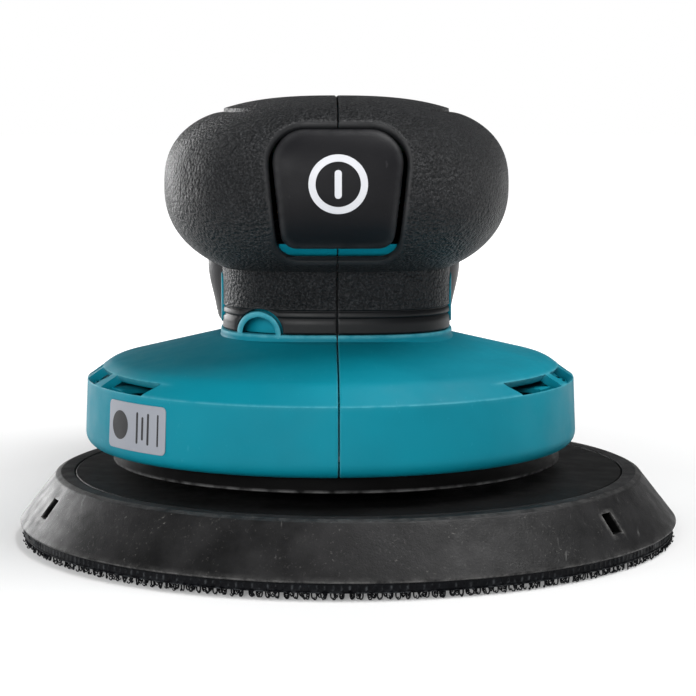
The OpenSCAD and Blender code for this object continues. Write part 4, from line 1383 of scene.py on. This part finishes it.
def skirt():
    """Soft black ring that hangs from the bell."""
    z0 = SKIRT_LOW[2]
    top = 20.9
    inside = SKIRT_R - 5
    path = fillet_path([(inside, top, 0), (inside, 19.5, 0.3), (SKIRT_R - 1.7, 19.2, 0.6),
                        (SKIRT_R - 1.6, z0 + 0.3, 0.3), (SKIRT_R - 0.9, z0, 0.35), (SKIRT_R, z0 + 0.35, 0.4),
                        (SKIRT_R - 0.25, top, 0.0), (inside, top, 0)], 0.5)
    # Pale line along the lower lip: painted highlight.
    lip = 0.6 * hump(path[:, 1] - z0 - 0.55, 0.16) * (path[:, 0] > SKIRT_R - 0.7)
    work = revolve(path, 0, 300, lip[:, None])
    work.build("skirt_ring", "skirt_rubber", "housing", ["brake_ring"], 50)


def on_bell(middle, middle_z, lift):
    """A surface over arc length and height on the bell's wall; drop moves it in."""
    foot = BELL_Z + BELL_FOOT_R

    def surface(s, q, drop):
        z = middle_z + q
        r = BELL_R - BELL_TAPER * (z - foot) / (CREASE_Z - foot) + lift - drop
        t = middle + s / BELL_R
        return np.stack([BELL_X + r * np.cos(t), r * np.sin(t), z], -1)

    return surface


def sticker():
    """Plain sticker with a dark disc and a few bars, wrapped on the bell's wall."""
    a0, a1, z0, z1 = STICKER
    half = math.radians(a1 - a0) * BELL_R / 2
    tall = (z1 - z0) / 2
    place = (math.radians((a0 + a1) / 2), (z0 + z1) / 2)
    corner = 1.1
    spots = [(x * (half - corner), y * (tall - corner), corner) for x in (-1, 1) for y in (-1, 1)]
    patch("sticker_sheet", "sticker", "housing", ["info_sticker"], hull_outline(spots, 16),
          on_bell(*place, 0.16), 0.2, 0.05, (1.0, 0.99, 0.97, 0.85, 0.7, 0.5, 0.3, 0.1))
    marks = [("disc", hull_outline([(-half * 0.52, 0, 3.1)], 12))]
    for name, x, reach, r in (("bar0", 0.12, 3.1, 0.3), ("bar1", 0.3, 2.2, 0.3), ("bar2", 0.48, 3.1, 0.3),
                              ("edge", 0.78, 3.2, 0.22)):
        marks.append((name, hull_outline([(half * x, -reach, r), (half * x, reach, r)], 6)))
    for name, ring in marks:
        piece = patch(f"sticker_{name}", "sticker", "housing", (), ring, on_bell(*place, 0.2), 0.06, 0.0,
                      (1.0, 0.8, 0.4, 0.1))
        piece.data.materials[0] = PAINT["sticker_print"]


# ---- battery and its arm ----
def block_rows(rows, y0, y1, half, corner):
    """Rings of a rounded rectangle in plan at (inset, z) levels."""
    out = []
    for inset, z in rows:
        r = max(corner - inset, 1.2)
        x = half - inset - r
        ring = block_ring(-x, x, y0 + inset + r, y1 - inset - r, r)
        out.append(np.column_stack([ring, np.full(len(ring), z)]))
    return np.array(out)


def block_ring(x0, x1, y0, y1, r):
    """Ring round four corner circles, with as many points on each corner and side at any size."""
    turns = 14
    pieces = 24
    corners = ((x0, y0), (x1, y0), (x1, y1), (x0, y1))
    ring = []
    for k, (x, y) in enumerate(corners):
        start = math.radians(-180 + 90 * k)
        for i in range(turns + 1):
            q = start + math.radians(90) * i / turns
            ring.append((x + r * math.cos(q), y + r * math.sin(q)))
        next_x, next_y = corners[(k + 1) % 4]
        a = np.array(ring[-1])
        b = np.array((next_x + r * math.cos(q), next_y + r * math.sin(q)))
        ring.extend(tuple(a + (b - a) * i / pieces) for i in range(1, pieces))
    return np.array(ring)


def battery_case():
    """Lower case of the battery: soft bottom edges, drafted foot and shallow grip ribs."""
    y0 = BATT_LOW[1]
    y1 = BATT_HIGH[1]
    z0 = BATT_LOW[2]
    z1 = BATT_HIGH[2]
    half = BATT_HIGH[0]
    corner = 9.0
    draft = 2.3
    foot_r = 3.2
    rows = [(draft + foot_r * (1 - up), z0 + foot_r * (1 - out)) for up, out in quarter(8)]
    for z in np.linspace(z0 + 3.6, z0 + 15, 14):
        rows.append((draft * (1 - smooth_step(z, z0 + 1, z0 + 15.5)), z))
    rows += [(0.0, z) for z in np.linspace(z0 + 15.6, z1 - 0.7, 6)]
    rows += [(0.04, z1 - 0.5), (0.16, z1 - 0.3), (0.4, z1 - 0.16), (0.75, z1 - 0.1), (1.4, z1 - 0.1)]
    points = block_rows(rows, y0, y1, half, corner)
    y = points[..., 1]
    z = points[..., 2]
    flank = np.abs(points[..., 0]) > half - 3.5
    band = smooth_step(z, z0 + 6, z0 + 7.5) * (1 - smooth_step(z, z1 - 5, z1 - 3.5))
    for k in range(5):
        depth = 0.7 * hump(y - (y0 + 24 + 7.5 * k), 1.1, 4) * band
        points[..., 0] -= np.sign(points[..., 0]) * depth * flank
    floor = block_rows([(3.0, z1 - 0.1), (3.4, z0 + 3.0), (8.0, z0 + 2.6)], y0, y1, half, corner)
    wear_and_highlight = np.zeros((len(points) + len(floor), points.shape[1]))
    wear_and_highlight[5:12] = 0.25
    work = Mesh()
    work.tube(np.concatenate([points, floor]), wear_and_highlight, True)
    work.build("battery_case", "battery_plastic", "battery", ["battery_tub"], 45)


def arm_section(t):
    """Arch of the arm from its left foot over the top to its right foot, inset by t."""
    half = TAIL_HIGH[0] - t
    x, z = arch(half, TAIL_HIGH[2] - t - TAIL_BEND, np.linspace(math.pi, 0, 72))
    z[0] = z[-1] = TAIL_BEND
    feet = np.linspace(TAIL_Z0 + 0.4, TAIL_BEND - 0.4, 6)
    low = TAIL_Z0 + 0.12
    left = np.array([(-half + 0.28, low)] + [(-half, v) for v in feet])
    right = np.array([(half, v) for v in feet[::-1]] + [(half - 0.28, low)])
    return np.vstack([left, np.stack([x, z], 1), right])


def arm_ring(t, y, f=1.0):
    """The arm's section at a place along it, shrunk by f towards the middle of its foot."""
    section = arm_section(t)
    low = TAIL_Z0 + 0.12
    return np.stack([section[:, 0] * f, np.full(len(section), y), low + (section[:, 1] - low) * f], -1)


def arm():
    """Arched arm that carries the battery, with a rounded rear end, a joint line and finger ribs."""
    y0 = TAIL_LOW[1]
    y1 = TAIL_HIGH[1]
    deepest = 3.9
    rows = [(deepest * ((y0 - y) / ARM_NOSE) ** 1.5, y, 1.0) for y in np.linspace(y0 - ARM_NOSE, y0, 12)[:-1]]
    rows += [(0.0, y, 1.0) for y in np.linspace(y0, y1 - ARM_END_R, 130)]
    rows += [(ARM_END_R * (1 - out), y1 - ARM_END_R + ARM_END_R * up, 1.0) for up, out in quarter(9)[1:]]
    rows += [(ARM_END_R, y1, f) for f in (0.75, 0.5, 0.25, 0.02)]
    outer = np.array([arm_ring(min(t, deepest), y, f) for t, y, f in rows])
    inner = np.array([arm_ring(ARM_WALL + min(t, 2.5), min(y, y1 - ARM_WALL), f) for t, y, f in rows])
    x = np.abs(outer[..., 0])
    y = outer[..., 1]
    z = outer[..., 2]
    top = smooth_step(z, TAIL_BEND + 3.5, TAIL_BEND + 6)
    line = 0.45 * hump(y - 58, 0.4)
    ribs = sum(0.7 * hump(y - y1 + 10 + 3.4 * k, 0.75, 4) for k in range(5))
    crease = 0.35 * hump(z - TAIL_BEND - 0.6, 0.5) * (y < y1 - 3)
    inward = np.sign(outer[..., 0]) * (line * (1 - top) + crease) * (x > 15)
    outer[..., 2] -= line * top + ribs * (1 - smooth_step(x, 15, 17)) * top
    outer[..., 0] -= inward
    work = Mesh()
    work.shell(outer, inner)
    work.build("battery_arm", "tail_plastic", "housing", ["tail_cover"], 45)


# ---- stage ----
def floor():
    """Flat pale floor that glows, weakly near the object and brighter into the background away from it."""
    reach = 6.0
    mesh = bpy.data.meshes.new("sweep")
    corners = [(-reach, -reach, 0), (reach, -reach, 0), (reach, reach, 0), (-reach, reach, 0)]
    mesh.from_pydata(corners, [], [(0, 1, 2, 3)])
    obj = bpy.data.objects.new("sweep", mesh)
    bpy.context.scene.collection.objects.link(obj)
    s = Shader("sweep")
    tone = s.mix(s.fit(s.noise(300, 2), 0.3, 0.7), (0.6, 0.6, 0.6), (0.63, 0.63, 0.63))
    far = s.add("VectorMath")
    far.operation = "LENGTH"
    s.join(s.coord.outputs["Object"], far.inputs[0])
    # The floor glows like a lamp: weak near the object, near full far from it.
    s.bsdf.inputs["Emission Color"].default_value = (1, 1, 1, 1)
    s.join(s.fit(far.outputs["Value"], 0.12, 0.6, 0.22, 0.97), s.bsdf.inputs["Emission Strength"])
    mesh.materials.append(s.finish(tone, 0.9))


def room():
    """White surroundings low down, fading to dim above, so the lights shape the object."""
    world = bpy.data.worlds.new("room")
    world.use_nodes = True
    tree = world.node_tree
    back = tree.nodes["Background"]
    back.inputs["Color"].default_value = (1, 1, 1, 1)
    way = tree.nodes.new("ShaderNodeTexCoord")
    parts = tree.nodes.new("ShaderNodeSeparateXYZ")
    fade_up = tree.nodes.new("ShaderNodeMapRange")
    for name, value in (("From Min", 0.048), ("From Max", 0.08), ("To Min", 1.0), ("To Max", 0.1)):
        fade_up.inputs[name].default_value = value
    tree.links.new(way.outputs["Generated"], parts.inputs["Vector"])
    tree.links.new(parts.outputs["Z"], fade_up.inputs["Value"])
    tree.links.new(fade_up.outputs["Result"], back.inputs["Strength"])
    bpy.context.scene.world = world


def lamp(name, place, aim, width, height, power):
    """A soft rectangular light in watts, turned to its aim."""
    data = bpy.data.lights.new(name, "AREA")
    data.shape = "RECTANGLE"
    data.size = width
    data.size_y = height
    data.energy = power
    obj = bpy.data.objects.new(name, data)
    obj.location = place
    obj.rotation_euler = (Vector(aim) - Vector(place)).to_track_quat("-Z", "Y").to_euler()
    bpy.context.scene.collection.objects.link(obj)


def camera():
    data = bpy.data.cameras.new("camera")
    data.sensor_width = 36
    data.lens = 113.1
    data.clip_start = 0.02
    data.clip_end = 20
    cam = bpy.data.objects.new("camera", data)
    cam.location = (-0.0050, -0.4977, 0.0978)
    cam.rotation_euler = (math.radians(90 - 6.395), 0, math.radians(-0.885))
    bpy.context.scene.collection.objects.link(cam)
    bpy.context.scene.camera = cam


def stage():
    """Floor, lights, surroundings and camera."""
    floor()
    lamp("rim", (-0.80, 0.95, 0.22), (-0.02, 0, 0.05), 0.75, 0.42, 7.5)
    lamp("top", (0.42, -0.05, 0.95), (0, 0, 0.03), 0.6, 0.6, 11.0)
    lamp("front", (-0.30, -1.15, 0.50), (0, 0, 0.05), 0.55, 0.45, 8.3)
    lamp("side", (-0.95, -0.55, 0.45), (0, 0, 0.05), 0.4, 0.5, 3.0)
    room()
    camera()
    bpy.context.scene.view_settings.view_transform = "Standard"


def main():
    paint_frame()
    for side, name in SIDES:
        grip(side, name)
        bell(side, name)
    for make in (arch_hood, vent_frames, neck_panels, bosses, seam_tongue, latch_skirt, button, under_button,
                 icon, sticker, skirt, pad_body, pad_plate, hook_tape, battery_case, arm, side_panels, hooks,
                 stage):
        make()


main()
